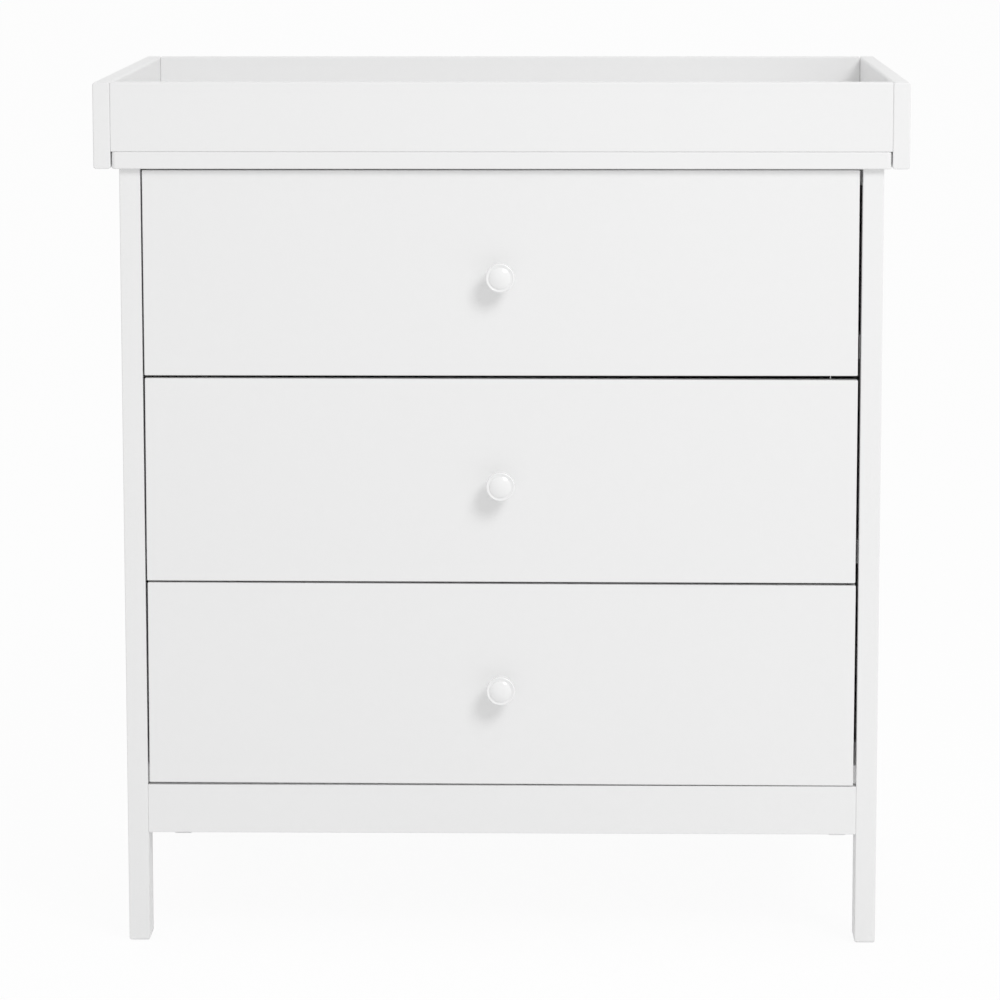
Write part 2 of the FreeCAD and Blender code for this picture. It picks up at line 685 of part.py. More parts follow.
def rails():
    """The apron and the three hidden rails."""
    low_rail("apron", "At.face", 1).node("front_apron")
    flat_rail(
        "front_top_rail", "At.face + Size.rail_setback", "At.front_rail_bolt - Size.rail_setback"
    ).node("front_top_rail")
    nail_depth = "Size.nail_length - Size.back_panel + Size.fit_gap"
    low = low_rail("back_low_rail", "At.rail_rear - Size.rail_thickness", -1)
    low_nails = [(x, "Size.apron_height / 2") for x in nail_columns("At.inner")]
    low.drill("y", "Size.rail_thickness", NAIL_HOLE, nail_depth, low_nails, -1)
    low.node("back_bottom_rail")
    high = flat_rail(
        "back_top_rail",
        "At.rail_rear - Size.rail_width",
        "Size.rail_width - (Size.post_depth - Size.back_panel) / 2",
    )
    high_nails = [(x, "Size.rail_thickness / 2") for x in nail_columns("At.inner")]
    high.drill("y", "Size.rail_width", NAIL_HOLE, nail_depth, high_nails, -1)
    straps = strap_holes("At.inner", "Size.rail_thickness / 2")
    strap_depth = "Size.strap_hole_depth - Size.back_panel"
    high.drill("y", "Size.rail_width", "Size.strap_hole", strap_depth, straps, -1)
    high.node("back_top_rail")


def back_panel():
    """The thin panel on the back rails, between the rear posts."""
    half = "(At.inner - Size.panel_play)"
    panel = board(
        "back_panel",
        (f"-{half}", "At.rail_rear", "Size.leg_clearance"),
        (f"2 * {half}", "Size.back_panel", "At.panel_height - Size.panel_play"),
    )
    rail_height = "At.rail_level - Size.leg_clearance"
    nails = [(x, z) for x in nail_columns(half) for z in ("Size.apron_height / 2", rail_height)]
    panel.drill("y", "0", NAIL_HOLE, "Size.back_panel", nails, 1)
    panel.drill("y", "0", "Size.strap_hole", "Size.back_panel", strap_holes(half, rail_height), 1)
    panel.node("back_panel")


def carcass_fasteners():
    """Glides, cam fittings, dowels and screws of the carcass."""
    leg_x = "-(At.post_half - Size.post_width / 2)"
    leg_rows = ("At.face + Size.post_depth / 2", "At.rear - Size.post_depth / 2")
    glides = copies(FASTENERS["glide"], [(leg_x, y, "0") for y in leg_rows])
    name_node(gather("glides", mirrored("glides", glides)), "foot_glides")

    cam = FASTENERS["rail_cam"]
    apron_y = "At.face + Size.rail_thickness / 2"
    low_rail_y = "At.rail_rear - Size.rail_thickness / 2"
    back_rail_y = "At.rear_post_front + (Size.post_depth - Size.back_panel) / 2"
    cams = (
        copies(cam, [("-At.inner", apron_y, "At.apron_level")], TO_BACK)
        + copies(cam, [("-At.inner", low_rail_y, "At.apron_level")], TO_FRONT)
        + copies(
            cam,
            [
                ("-At.inner", "At.face + At.front_rail_bolt", "At.rail_level"),
                ("-At.inner", back_rail_y, "At.rail_level"),
            ],
            UPSIDE_DOWN,
        )
    )
    name_node(gather("rail_cams", mirrored("rail_cams", cams)), "carcass_cam_fittings")

    panel_x = "-(At.inner + At.side_middle)"
    starts = ("At.front_post_back - Size.dowel_in_post", "At.rear_post_front - At.dowel_in_panel")
    places = [
        (panel_x, y, f"Size.leg_clearance + {level}") for y in starts for level in dowel_levels()
    ]
    dowels = copies(FASTENERS["dowel"], places, TO_BACK)
    name_node(gather("dowels", mirrored("dowels", dowels)), "side_panel_dowels")

    screw_y = (
        "At.face + Size.rail_setback + Size.rail_width / 2",
        "At.rail_rear - Size.rail_width / 2",
    )
    screw_z = "Size.carcass_height - Size.rail_thickness + Size.fit_gap"
    top_screws = copies(
        FASTENERS["long_screw"],
        [(x, y, screw_z) for x in ("-At.screw_spread", "0", "At.screw_spread") for y in screw_y],
    )
    nails = copies(
        FASTENERS["nail"],
        [
            (x, "At.rear + Size.nail_head_height", z)
            for x in nail_columns("0")
            for z in ("At.apron_level", "At.rail_level")
        ],
        TO_FRONT,
    )
    runner_y = [
        f"At.face + Size.runner_setback + {y}"
        for y in ("At.first_hole", "At.middle_hole", "At.last_hole")
    ]
    head_x = "-(At.inner - Size.runner_sheet - Size.screw_head_height)"
    runner_screws = copies(
        FASTENERS["runner_screw"],
        [
            (head_x, y, f"{track_place(level)} + At.hole_level")
            for level in range(len(LEVELS))
            for y in runner_y
        ],
        TO_LEFT,
    )
    screws = top_screws + nails + mirrored("runner_screws", runner_screws)
    name_node(gather("screws", screws), "carcass_screws")


def add_axle(runner, web_face, y, level, shoulder, toward):
    """A riveted roller axle on a runner's web: shoulder, journal and head."""
    journal_at = f"{web_face} {'+' if toward > 0 else '-'} ({shoulder})"
    head_at = f"{journal_at} {'+' if toward > 0 else '-'} At.axle_length"
    steps = (
        (web_face, "Size.axle_head", shoulder),
        (journal_at, "Size.axle_diameter", "At.axle_length"),
        (head_at, "Size.axle_head", "Size.axle_head_length"),
    )
    for at, diameter, length in steps:
        runner.pad("x", runner.circles("x", at, diameter, [(y, level)]), length, toward)


def cabinet_runners(level):
    """The channel that is screwed to each side panel, with the axle of its front roller."""
    name = f"{LEVELS[level]}_left_cabinet_runner"
    runner = Piece(name, "-At.inner", "At.face + Size.runner_setback", track_place(level))
    lip_bottom = "At.channel_height - Size.runner_sheet"
    profile = runner.outline("y", "0", [
        ("0", "0"),
        ("Size.track_reach", "0"),
        ("Size.track_reach", "Size.runner_sheet"),
        ("Size.runner_sheet", "Size.runner_sheet"),
        ("Size.runner_sheet", lip_bottom),
        ("Size.lip_reach", lip_bottom),
        ("Size.lip_reach", "At.channel_height"),
        ("0", "At.channel_height"),
    ])
    runner.pad("y", profile, "At.box_length")
    add_axle(
        runner, "Size.runner_sheet", "Size.roller_inset", "At.cabinet_axle", "At.cabinet_shoulder", 1
    )
    holes = [(y, "At.hole_level") for y in ("At.first_hole", "At.middle_hole", "At.last_hole")]
    runner.drill("x", "0", SCREW_HOLE, "Size.runner_sheet", holes, 1)
    mirror_node(runner.node(name), name.replace("left", "right"))


def drawer_runners(level):
    """The member under each drawer side, with the axle of its rear roller."""
    name = f"{LEVELS[level]}_drawer_left_runner"
    runner = Piece(
        name,
        "-(At.inner - Size.lip_gap)",
        "At.box_front + Size.runner_end_play",
        f"{track_place(level)} + At.drawer_runner_start",
    )
    web_face = "At.web - Size.runner_sheet"
    flange_end = "At.web + Size.flange_reach"
    lip_bottom = "At.drawer_runner_height - Size.runner_sheet"
    profile = runner.outline("y", "0", [
        (web_face, "0"),
        (flange_end, "0"),
        (flange_end, "Size.runner_sheet"),
        ("At.web", "Size.runner_sheet"),
        ("At.web", "At.drawer_runner_height"),
        ("0", "At.drawer_runner_height"),
        ("0", lip_bottom),
        (web_face, lip_bottom),
    ])
    runner.pad("y", profile, "At.drawer_runner_length")
    axle_y = "At.drawer_runner_length - Size.roller_inset"
    axle_z = "At.drawer_axle - At.drawer_runner_start"
    add_axle(runner, web_face, axle_y, axle_z, "At.drawer_shoulder", -1)
    side_middle = "At.web + Size.box_side / 2"
    holes = [(side_middle, y) for y in ("At.first_flange_hole", "At.last_flange_hole")]
    runner.drill("z", "0", SCREW_HOLE, "Size.runner_sheet", holes, 1)
    mirror_node(runner.node(name), name.replace("left", "right"))


def roller_pair(label, x, y, z):
    """A pair of rollers on one line, at the left and the right of a drawer."""
    roller = Piece(label, x, y, z, TO_RIGHT)
    bore = "Size.axle_diameter / 2 + Size.running_gap"
    shoulder = "At.roller_radius - Size.roller_edge"
    roller.turn([
        (bore, "0"),
        (shoulder, "0"),
        ("At.roller_radius", "Size.roller_edge"),
        ("At.roller_radius", "Size.roller_width - Size.roller_edge"),
        (shoulder, "Size.roller_width"),
        (bore, "Size.roller_width"),
    ])
    name_node(gather(f"{label}_pair", mirrored(label, [roller.body])), label)


def rollers(level):
    """The rollers at the front of the cabinet runners and at the rear of the drawer runners."""
    name = LEVELS[level]
    track = track_place(level)
    roller_pair(
        f"{name}_cabinet_rollers",
        "-(At.inner - Size.lip_gap)",
        "At.face + Size.runner_setback + Size.roller_inset",
        f"{track} + At.cabinet_axle",
    )
    roller_pair(
        f"{name}_drawer_rollers",
        "-(At.inner - Size.lip_gap - Size.axle_head_length - Size.roller_side_play)",
        "At.box_front + Size.runner_end_play + At.drawer_runner_length - Size.roller_inset",
        f"{track} + At.drawer_axle",
    )


def drawer_front(level):
    """An inset drawer front, grooved for the bottom and drilled for its knob and sides."""
    name = f"{LEVELS[level]}_drawer_front"
    front = board(
        name,
        ("-At.front_half", "At.face", level_place(level)),
        ("2 * At.front_half", "Size.front_thickness", "At.front_height"),
        "Size.front_ease",
    )
    back_face = "Size.front_thickness"
    tongue = "(At.box_inner + Size.groove_depth)"
    groove_floor = "Size.box_lift + Size.bottom_lift"
    groove = front.rectangle(
        "y", back_face,
        (f"At.front_half - {tongue}", groove_floor),
        (f"At.front_half + {tongue}", f"{groove_floor} + At.groove_height"),
    )
    front.cut("y", groove, "Size.groove_depth", -1)
    side_middle = "(At.box_half - Size.box_side / 2)"
    bolts = [
        (f"At.front_half {sign} {side_middle}", f"Size.box_lift + {height}")
        for sign in "-+"
        for height in ("At.low_bolt", "At.high_bolt")
    ]
    front.drill("y", back_face, BOLT_HOLE, BOLT_DEPTH, bolts, -1)
    knob = [("At.front_half", "At.knob_level")]
    front.drill("y", "0", LONG_SCREW_HOLE, "Size.front_thickness", knob, 1)
    front.node(name)


def drawer_sides(level):
    """The sides of a drawer box: bottom groove, cam locks in front, screws behind and below."""
    name = f"{LEVELS[level]}_drawer_left_side"
    side = board(
        name,
        ("-At.box_half", "At.box_front", level_place(level, "Size.box_lift")),
        ("Size.box_side", "At.box_length", "Size.box_height"),
        "Size.box_ease",
    )
    inside = "Size.box_side"
    groove = side.rectangle(
        "x", inside,
        ("0", "Size.bottom_lift"),
        ("At.box_length", "Size.bottom_lift + At.groove_height"),
    )
    side.cut("x", groove, "Size.groove_depth", -1)
    heights = ("At.low_bolt", "At.high_bolt")
    cams = [("Size.cam_setback", height) for height in heights]
    side.drill("x", inside, CAM_HOLE, "Size.box_side - Size.cam_share_floor", cams, -1)
    bolts = [("Size.box_side / 2", height) for height in heights]
    side.drill("y", "0", BOLT_HOLE, "Size.cam_setback", bolts, 1)
    back_middle = "At.box_length - Size.box_side / 2"
    screws = [(back_middle, height) for height in ("At.low_screw", "At.high_screw")]
    side.drill("x", "0", LONG_SCREW_SEAT, "Size.long_screw_head_height + Size.fit_gap", screws, 1)
    side.drill("x", "0", LONG_SCREW_HOLE, "Size.box_side", screws, 1)
    flange_screws = [
        ("Size.box_side / 2", f"Size.runner_end_play + {y}")
        for y in ("At.first_flange_hole", "At.last_flange_hole")
    ]
    depth = "Size.flange_screw_length - Size.runner_sheet + Size.fit_gap"
    side.drill("z", "0", SCREW_HOLE, depth, flange_screws, 1)
    mirror_node(side.node(name), name.replace("left", "right"))


def drawer_back(level):
    """The back of a drawer box, between its sides and on its bottom."""
    name = f"{LEVELS[level]}_drawer_back"
    length = "2 * At.box_inner"
    back = board(
        name,
        (
            "-At.box_inner",
            "At.box_front + At.box_length - Size.box_side",
            level_place(level, "Size.box_lift + At.bottom_top"),
        ),
        (length, "Size.box_side", "At.back_height"),
        "Size.box_ease",
    )
    screws = [
        ("Size.box_side / 2", f"{z} - At.bottom_top") for z in ("At.low_screw", "At.high_screw")
    ]
    depth = long_screw_in("Size.box_side")
    back.drill("x", "0", LONG_SCREW_HOLE, depth, screws, 1)
    back.drill("x", length, LONG_SCREW_HOLE, depth, screws, -1)
    nails = [(x, "Size.box_side / 2") for x in bottom_nail_columns("At.box_inner")]
    nail_depth = "Size.nail_length - Size.bottom_thickness + Size.fit_gap"
    back.drill("z", "0", NAIL_HOLE, nail_depth, nails, 1)
    back.node(name)


def bottom_nail_columns(middle):
    """The places of the nails that hold a drawer bottom to the back."""
    spread = "At.box_inner * 0.6"
    return [f"{middle} - {spread}", middle, f"{middle} + {spread}"]


def drawer_bottom(level):
    """The thin bottom, in the grooves of the sides and front, nailed up into the back."""
    name = f"{LEVELS[level]}_drawer_bottom"
    half = "(At.box_inner + At.bottom_tongue)"
    bottom = board(
        name,
        (
            f"-{half}",
            "At.box_front - At.bottom_tongue",
            level_place(level, "Size.box_lift + Size.bottom_lift + Size.fit_gap"),
        ),
        (f"2 * {half}", "At.box_length + At.bottom_tongue", "Size.bottom_thickness"),
    )
    row = "At.box_length + At.bottom_tongue - Size.box_side / 2"
    nails = [(x, row) for x in bottom_nail_columns(half)]
    bottom.drill("z", "0", NAIL_HOLE, "Size.bottom_thickness", nails, 1)
    bottom.node(name)


def drawer_knob(level):
    """A turned knob: a rim that slopes in to a groove, and a low dome inside it."""
    name = f"{LEVELS[level]}_drawer_knob"
    knob = Piece(name, "0", "At.face", level_place(level, "At.knob_level"), TO_FRONT)
    radius = "Size.knob_diameter / 2"
    neck = "Size.knob_neck / 2"
    crest = "Size.knob_crest / 2"
    dome = "Size.knob_dome / 2"
    dome_edge = "Size.knob_reach - Size.knob_dome_rise"
    dome_radius = f"(({dome})^2 + Size.knob_dome_rise^2) / (2 * Size.knob_dome_rise)"
    bead_rise = "(Size.knob_rim_top - Size.knob_bead_start)"
    bead_width = f"({radius} - {crest})"
    bead_radius = f"({bead_width}^2 + {bead_rise}^2) / (2 * {bead_width})"
    groove_floor = "Size.knob_rim_top - Size.knob_groove_depth"
    knob.turn([
        ("0", "0"),
        (neck, "0"),
        (neck, "Size.knob_neck_length"),
        (radius, "Size.knob_rim_start", "Size.knob_flare", -1),
        (radius, "Size.knob_bead_start"),
        (crest, "Size.knob_rim_top", bead_radius, 1),
        ("Size.knob_groove_outside / 2", groove_floor),
        (dome, groove_floor),
        (dome, dome_edge),
        ("0", "Size.knob_reach", dome_radius, 1),
    ])
    depth = "Size.knob_screw_length - Size.front_thickness + Size.fit_gap"
    knob.drill("z", "0", LONG_SCREW_HOLE, depth, [("0", "0")], 1)
    knob.node(name)


def drawer_fixings(level):
    """A drawer's cam fittings, screws and nails."""
    name = f"{LEVELS[level]}_drawer_fixings"
    knob_screw = copies(
        FASTENERS["knob_screw"],
        [(
            "0",
            "At.box_front + Size.long_screw_head_height",
            level_place(level, "At.knob_level"),
        )],
        TO_FRONT,
    )
    cam_turn = FreeCAD.Rotation(VECTOR(0, 1, 0), VECTOR(0, 0, 1), VECTOR(1, 0, 0))
    cam_x = "-(At.box_half - Size.box_side / 2)"
    cams = copies(
        FASTENERS["box_cam"],
        [
            (cam_x, "At.box_front", level_place(level, f"Size.box_lift + {height}"))
            for height in ("At.low_bolt", "At.high_bolt")
        ],
        cam_turn,
    )
    back_y = "At.box_front + At.box_length - Size.box_side / 2"
    back_screws = copies(
        FASTENERS["long_screw"],
        [
            ("-(At.box_half - Size.fit_gap)", back_y, level_place(level, f"Size.box_lift + {height}"))
            for height in ("At.low_screw", "At.high_screw")
        ],
        TO_RIGHT,
    )
    flange_z = f"{track_place(level)} + At.drawer_runner_start - Size.screw_head_height"
    flange_screws = copies(
        FASTENERS["flange_screw"],
        [
            (cam_x, f"At.box_front + Size.runner_end_play + {y}", flange_z)
            for y in ("At.first_flange_hole", "At.last_flange_hole")
        ],
    )
    bottom_z = level_place(
        level, "Size.box_lift + Size.bottom_lift + Size.fit_gap - Size.nail_head_height"
    )
    nails = copies(
        FASTENERS["nail"], [(x, back_y, bottom_z) for x in bottom_nail_columns("0")]
    )
    pairs = mirrored(f"{name}_pairs", cams + back_screws + flange_screws)
    name_node(gather(f"{name}_all", knob_screw + nails + pairs), name)


def changing_tray():
    """The tray that lies on the top, with side boards that reach down over the top's ends."""
    wall_inner = "(Size.tray_width / 2 - Size.tray_board)"
    bolt_height = "Size.tray_rail_height / 2"
    side = board(
        "tray_side",
        ("-Size.tray_width / 2", "At.top_front", "Size.carcass_height"),
        ("Size.tray_board", "Size.tray_depth", "Size.top_thickness + Size.tray_rail_height"),
    )
    side.round_edges("Size.tray_edge", lengthwise)
    side.round_edges("Size.tray_ease", lambda edge: edge.BoundBox.YLength < 1e-6)
    board_middle = "Size.tray_board / 2"
    bolts = [
        (y, f"Size.top_thickness + {bolt_height}")
        for y in (board_middle, f"Size.tray_depth - {board_middle}")
    ]
    side.drill("x", "Size.tray_board", BOLT_HOLE, BOLT_DEPTH, bolts, -1)
    mirror_node(side.node("tray_left_side"), "tray_right_side")

    length = f"2 * {wall_inner}"
    walls = (
        ("tray_front_rail", "At.top_front", 1, TO_BACK),
        ("tray_back_rail", "At.top_back - Size.tray_board", -1, TO_FRONT),
    )
    cams = []
    for name, y, open_side, turn in walls:
        rail = board(
            name,
            (f"-{wall_inner}", y, "At.top_face"),
            (length, "Size.tray_board", "Size.tray_rail_height"),
            "Size.tray_ease",
        )
        opening = "Size.tray_board" if open_side > 0 else "0"
        across = (board_middle, bolt_height)
        drill_cam_ends(rail, "y", opening, -open_side, across, "Size.tray_board", length)
        rail.node(name)
        place = (f"-{wall_inner}", f"{y} + {board_middle}", f"At.top_face + {bolt_height}")
        cams += copies(FASTENERS["tray_cam"], [place], turn)
    name_node(gather("tray_cams", mirrored("tray_cams", cams)), "tray_cam_fittings")


def carcass():
    """Everything that stands still under the tray."""
    top_panel()
    posts()
    side_panels()
    rails()
    back_panel()
    carcass_fasteners()


def drawer(level):
    """One drawer, its runners and its rollers."""
    cabinet_runners(level)
    drawer_front(level)
    drawer_sides(level)
    drawer_back(level)
    drawer_bottom(level)
    drawer_knob(level)
    drawer_fixings(level)
    drawer_runners(level)
    rollers(level)


def check_document():
    """Stop if a feature failed, a cut cut nothing or a sub-part isn't sound."""
    for item in DOC.Objects:
        if "Invalid" in item.State or "Error" in item.State:
            raise RuntimeError(f"{item.Name} failed: {item.State}")
        if item.TypeId == "PartDesign::Pocket":
            if item.Shape.Volume > item.BaseFeature.Shape.Volume - 1e-3:
                raise RuntimeError(f"{item.Name} cuts nothing from {item.BaseFeature.Name}")
    for label, item in NODES.items():
        if item.Shape.isNull() or not item.Shape.isValid() or not item.Shape.Solids:
            raise RuntimeError(f"{label} has no sound shape")


def export():
    """Write each sub-part to a file of its own name."""
    os.makedirs("parts", exist_ok=True)
    for label, item in NODES.items():
        item.Shape.exportStep(f"parts/{label}.step")


carcass()
for each_level in range(len(LEVELS)):
    drawer(each_level)
changing_tray()
DOC.recompute()
check_document()
export()
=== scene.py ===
import json
import math

import bmesh
import bpy
from mathutils import Matrix, Vector

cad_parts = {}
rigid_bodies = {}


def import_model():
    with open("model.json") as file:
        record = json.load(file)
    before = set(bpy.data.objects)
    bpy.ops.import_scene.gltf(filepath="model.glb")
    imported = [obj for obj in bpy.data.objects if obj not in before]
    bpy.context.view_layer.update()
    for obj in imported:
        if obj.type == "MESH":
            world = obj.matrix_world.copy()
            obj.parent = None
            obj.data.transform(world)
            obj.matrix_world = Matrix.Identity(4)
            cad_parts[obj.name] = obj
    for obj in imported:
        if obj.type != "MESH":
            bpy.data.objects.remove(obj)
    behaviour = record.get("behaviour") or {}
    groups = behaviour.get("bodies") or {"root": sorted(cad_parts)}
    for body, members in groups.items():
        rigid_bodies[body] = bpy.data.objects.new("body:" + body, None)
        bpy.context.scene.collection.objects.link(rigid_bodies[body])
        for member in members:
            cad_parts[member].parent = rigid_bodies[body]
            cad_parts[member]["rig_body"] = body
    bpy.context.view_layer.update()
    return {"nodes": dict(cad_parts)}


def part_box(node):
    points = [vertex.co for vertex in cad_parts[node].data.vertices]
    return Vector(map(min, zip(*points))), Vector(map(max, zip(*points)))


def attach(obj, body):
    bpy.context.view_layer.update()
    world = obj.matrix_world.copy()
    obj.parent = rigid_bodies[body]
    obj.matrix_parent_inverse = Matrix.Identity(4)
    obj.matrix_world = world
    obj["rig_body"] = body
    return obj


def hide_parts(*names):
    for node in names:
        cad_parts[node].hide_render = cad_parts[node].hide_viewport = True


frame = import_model()

bl_info = {
    "name": "Changing dresser",
    "version": (1, 0, 0),
    "blender": (4, 5, 0),
    "location": "3D View > Sidebar > Dresser",
    "description": "Dresses a nursery chest of three drawers with a lift-off changing tray",
    "category": "Object",
}

LEVELS = ("lower", "middle", "upper")
SIDES = ("left", "right")
DEEP, TALL = 1, 2    # axes
TINY = 1e-5          # less than any real size
WELD = 1e-6          # points this near each other are one

# Sizes and colours that a user would change.

def length(name, description, default, low=0.0, high=1.0):
    return bpy.props.FloatProperty(
        name=name, description=description, default=default, min=low, max=high,
        unit="LENGTH", subtype="DISTANCE", precision=5,
    )


def share(name, description, default):
    return bpy.props.FloatProperty(
        name=name, description=description, default=default, min=0.0, max=1.0,
        subtype="FACTOR",
    )


def colour(name, description, default):
    return bpy.props.FloatVectorProperty(
        name=name, description=description, default=default, size=3, min=0.0, max=1.0,
        subtype="COLOR",
    )


class DresserFinish(bpy.types.PropertyGroup):
    paint: colour("Paint", "Satin paint of the boards", (0.872, 0.872, 0.872))
    paint_roughness: share("Paint roughness", "Roughness of the satin paint", 0.36)
    peel: length("Peel", "Width of the dimples that a paint roller leaves", 0.0016)
    knob_paint: colour("Knob paint", "Gloss paint of the knobs", (0.892, 0.892, 0.892))
    knob_roughness: share("Knob roughness", "Roughness of the gloss paint", 0.16)
    hardboard: colour("Hardboard", "White face of the thin boards", (0.845, 0.845, 0.840))
    runner: colour("Runner", "Coating of the drawer runners", (0.83, 0.835, 0.84))
    zinc: colour("Zinc", "Plating of the screws and cams", (0.60, 0.61, 0.62))
    nylon: colour("Nylon", "Rollers and glides", (0.80, 0.80, 0.775))
    beech: colour("Beech", "Bare wood of the dowels", (0.56, 0.38, 0.22))


class DresserBoards(bpy.types.PropertyGroup):
    ease: length("Ease", "Eased edges of the posts, panels and drawer fronts", 0.0012)
    foot: length("Foot", "Rounding of the posts' lower ends", 0.0026)
    top_ease: length("Top ease", "Eased edges of the top", 0.0016)
    top_corner: length("Top corner", "Radius of the top's upright corners", 0.0045)
    tray_ease: length("Tray ease", "Eased edges of the tray's boards", 0.0014)
    tray_corner: length("Tray corner", "Rounding along the tray's side boards", 0.003)


class DresserKnob(bpy.types.PropertyGroup):
    neck: length("Neck", "Radius of the knob's neck", 0.0075)
    neck_length: length("Neck length", "Straight part of the neck", 0.008)
    flare: length("Flare", "Radius of the hollow under the rim", 0.012)
    rim_start: length("Rim start", "Where the knob reaches its full width", 0.0175)
    bead_start: length("Bead start", "Where the rim starts to round over", 0.0238)
    rim_top: length("Rim top", "Crest of the rim, out from the drawer front", 0.025)
    crest: length("Crest", "Radius of the rim's crest", 0.0138)
    groove_outside: length("Groove outside", "Radius where the rim's slope ends", 0.0122)
    groove_depth: length("Groove depth", "Depth of the groove under the crest", 0.0008)
    dome: length("Dome", "Radius of the dome inside the groove", 0.0111)
    dome_rise: length("Dome rise", "Height of the dome above its edge", 0.0029)


class DresserStudio(bpy.types.PropertyGroup):
    key: bpy.props.FloatProperty(
        name="Key light", description="Large soft light, high on the right", default=72.5,
        min=0.0, unit="POWER",
    )
    key_size: length("Key size", "Width of the large soft light", 1.6, 0.1, 6.0)
    sky: bpy.props.FloatProperty(
        name="Room light", description="Even light from all round", default=0.67, min=0.0,
    )
    floor: colour("Floor", "Pale floor", (0.94, 0.94, 0.94))
    floor_shadow: share("Floor shadow", "How much of the shadow the floor shows", 0.06)


# Node trees, one node at a time.

class Value:
    """An output socket that adds up with numbers and with other outputs."""

    def __init__(self, net, socket):
        self.net = net
        self.socket = socket

    def maths(self, operation, first, second):
        return self.net.node("ShaderNodeMath", {"operation": operation}, {0: first, 1: second})

    def __add__(self, other):
        return self.maths("ADD", self, other)

    __radd__ = __add__

    def __sub__(self, other):
        return self.maths("SUBTRACT", self, other)

    def __rsub__(self, other):
        return self.maths("SUBTRACT", other, self)

    def __mul__(self, other):
        return self.maths("MULTIPLY", self, other)

    __rmul__ = __mul__


class Net:
    """A node tree under construction."""

    def __init__(self, tree):
        self.tree = tree

    def node(self, kind, settings=None, inputs=None, output=0):
        made = self.tree.nodes.new(kind)
        settings = dict(settings or {})
        stops = settings.pop("stops", None)
        for name, setting in settings.items():
            setattr(made, name, setting)
        if stops:
            elements = made.color_ramp.elements
            for spare in list(elements)[1:]:
                elements.remove(spare)
            for index, (place, tone) in enumerate(stops):
                stop = elements[0] if index == 0 else elements.new(place)
                stop.position = place
                stop.color = (tone, tone, tone, 1.0) if isinstance(tone, float) else (*tone, 1.0)
        for key, given in (inputs or {}).items():
            self.feed(made.inputs[key], given)
        made_output = made.outputs[output] if len(made.outputs) else None
        return Value(self, made_output)

    def feed(self, socket, given):
        if isinstance(given, Value):
            self.tree.links.new(given.socket, socket)
        elif hasattr(given, "__len__") and socket.type == "RGBA" and len(given) == 3:
            socket.default_value = (*given, 1.0)
        else:
            socket.default_value = given

    def mix(self, share_of_second, first, second):
        """Two colours, or two outputs that carry colours, in one."""
        return self.node(
            "ShaderNodeMix", {"data_type": "RGBA"}, {0: share_of_second, 6: first, 7: second}, 2
        )

    def vector(self, operation, first, second=None):
        inputs = {0: first} if second is None else {0: first, 1: second}
        return self.node("ShaderNodeVectorMath", {"operation": operation}, inputs)

    def noise(self, place, scale, detail=2.0, roughness=0.5):
        return self.node("ShaderNodeTexNoise", None, {
            "Vector": place, "Scale": scale, "Detail": detail, "Roughness": roughness,
        })

    def stretch(self, place, scale):
        return self.node("ShaderNodeMapping", None, {"Vector": place, "Scale": scale})


def new_material(name, preview, fixed):
    """A material's net, its shader node, and the place on the piece in metres."""
    material = bpy.data.materials.new(name)
    material.use_nodes = True
    material.diffuse_color = (*preview, 1.0)
    net = Net(material.node_tree)
    shader = material.node_tree.nodes["Principled BSDF"]
    for socket, setting in fixed.items():
        net.feed(shader.inputs[socket], setting)
    place = net.node("ShaderNodeTexCoord", output=3)
    return material, net, shader, place


def shade(tone, factor):
    """A tone made lighter or darker."""
    return tuple(part * factor for part in tone)


def tint(net, shader, amount, tone, first, second):
    """A base colour that runs between two shades of one tone."""
    shades = net.mix(amount, shade(tone, first), shade(tone, second))
    net.feed(shader.inputs["Base Color"], shades)


def bump(net, shader, height, strength, distance):
    """Fine relief on a finish."""
    surface = net.node("ShaderNodeBump", None, {
        "Strength": strength, "Distance": distance, "Height": height,
    })
    net.feed(shader.inputs["Normal"], surface)


# Finishes.

def satin_paint(name, tone, roughness, peel):
    """Sprayed and rolled paint on smooth board: faint clouding, fine dimples, a soft sheen."""
    material, net, shader, place = new_material(name, tone, {
        "Specular IOR Level": 0.45, "Coat Roughness": 0.25,
    })
    clouds = net.noise(place, scale=3.1, detail=3.0)
    fibres = net.noise(place, scale=95.0, detail=4.0, roughness=0.6)
    dimples = net.noise(place, scale=1.0 / peel, detail=2.0, roughness=0.45)
    tone_share = clouds * 0.6 + fibres * 0.4
    tint(net, shader, tone_share, tone, 0.985, 1.012)
    net.feed(shader.inputs["Roughness"], roughness - 0.05 + 0.07 * clouds + 0.05 * dimples)
    bump(net, shader, dimples * 0.8 + fibres * 0.2, strength=0.22, distance=0.00010)
    return material


def gloss_paint(name, tone, roughness):
    """Dipped gloss paint on turned wood, with faint rings left by the lathe."""
    material, net, shader, place = new_material(name, tone, {
        "Specular IOR Level": 0.5, "Coat Weight": 0.35, "Coat Roughness": 0.08,
    })
    clouds = net.noise(place, scale=60.0, detail=3.0)
    ripple = net.noise(net.stretch(place, (300.0, 900.0, 300.0)), scale=1.0, detail=2.0)
    tint(net, shader, clouds, tone, 0.985, 1.01)
    net.feed(shader.inputs["Roughness"], roughness - 0.03 + 0.08 * clouds)
    bump(net, shader, ripple, strength=0.10, distance=0.00006)
    return material


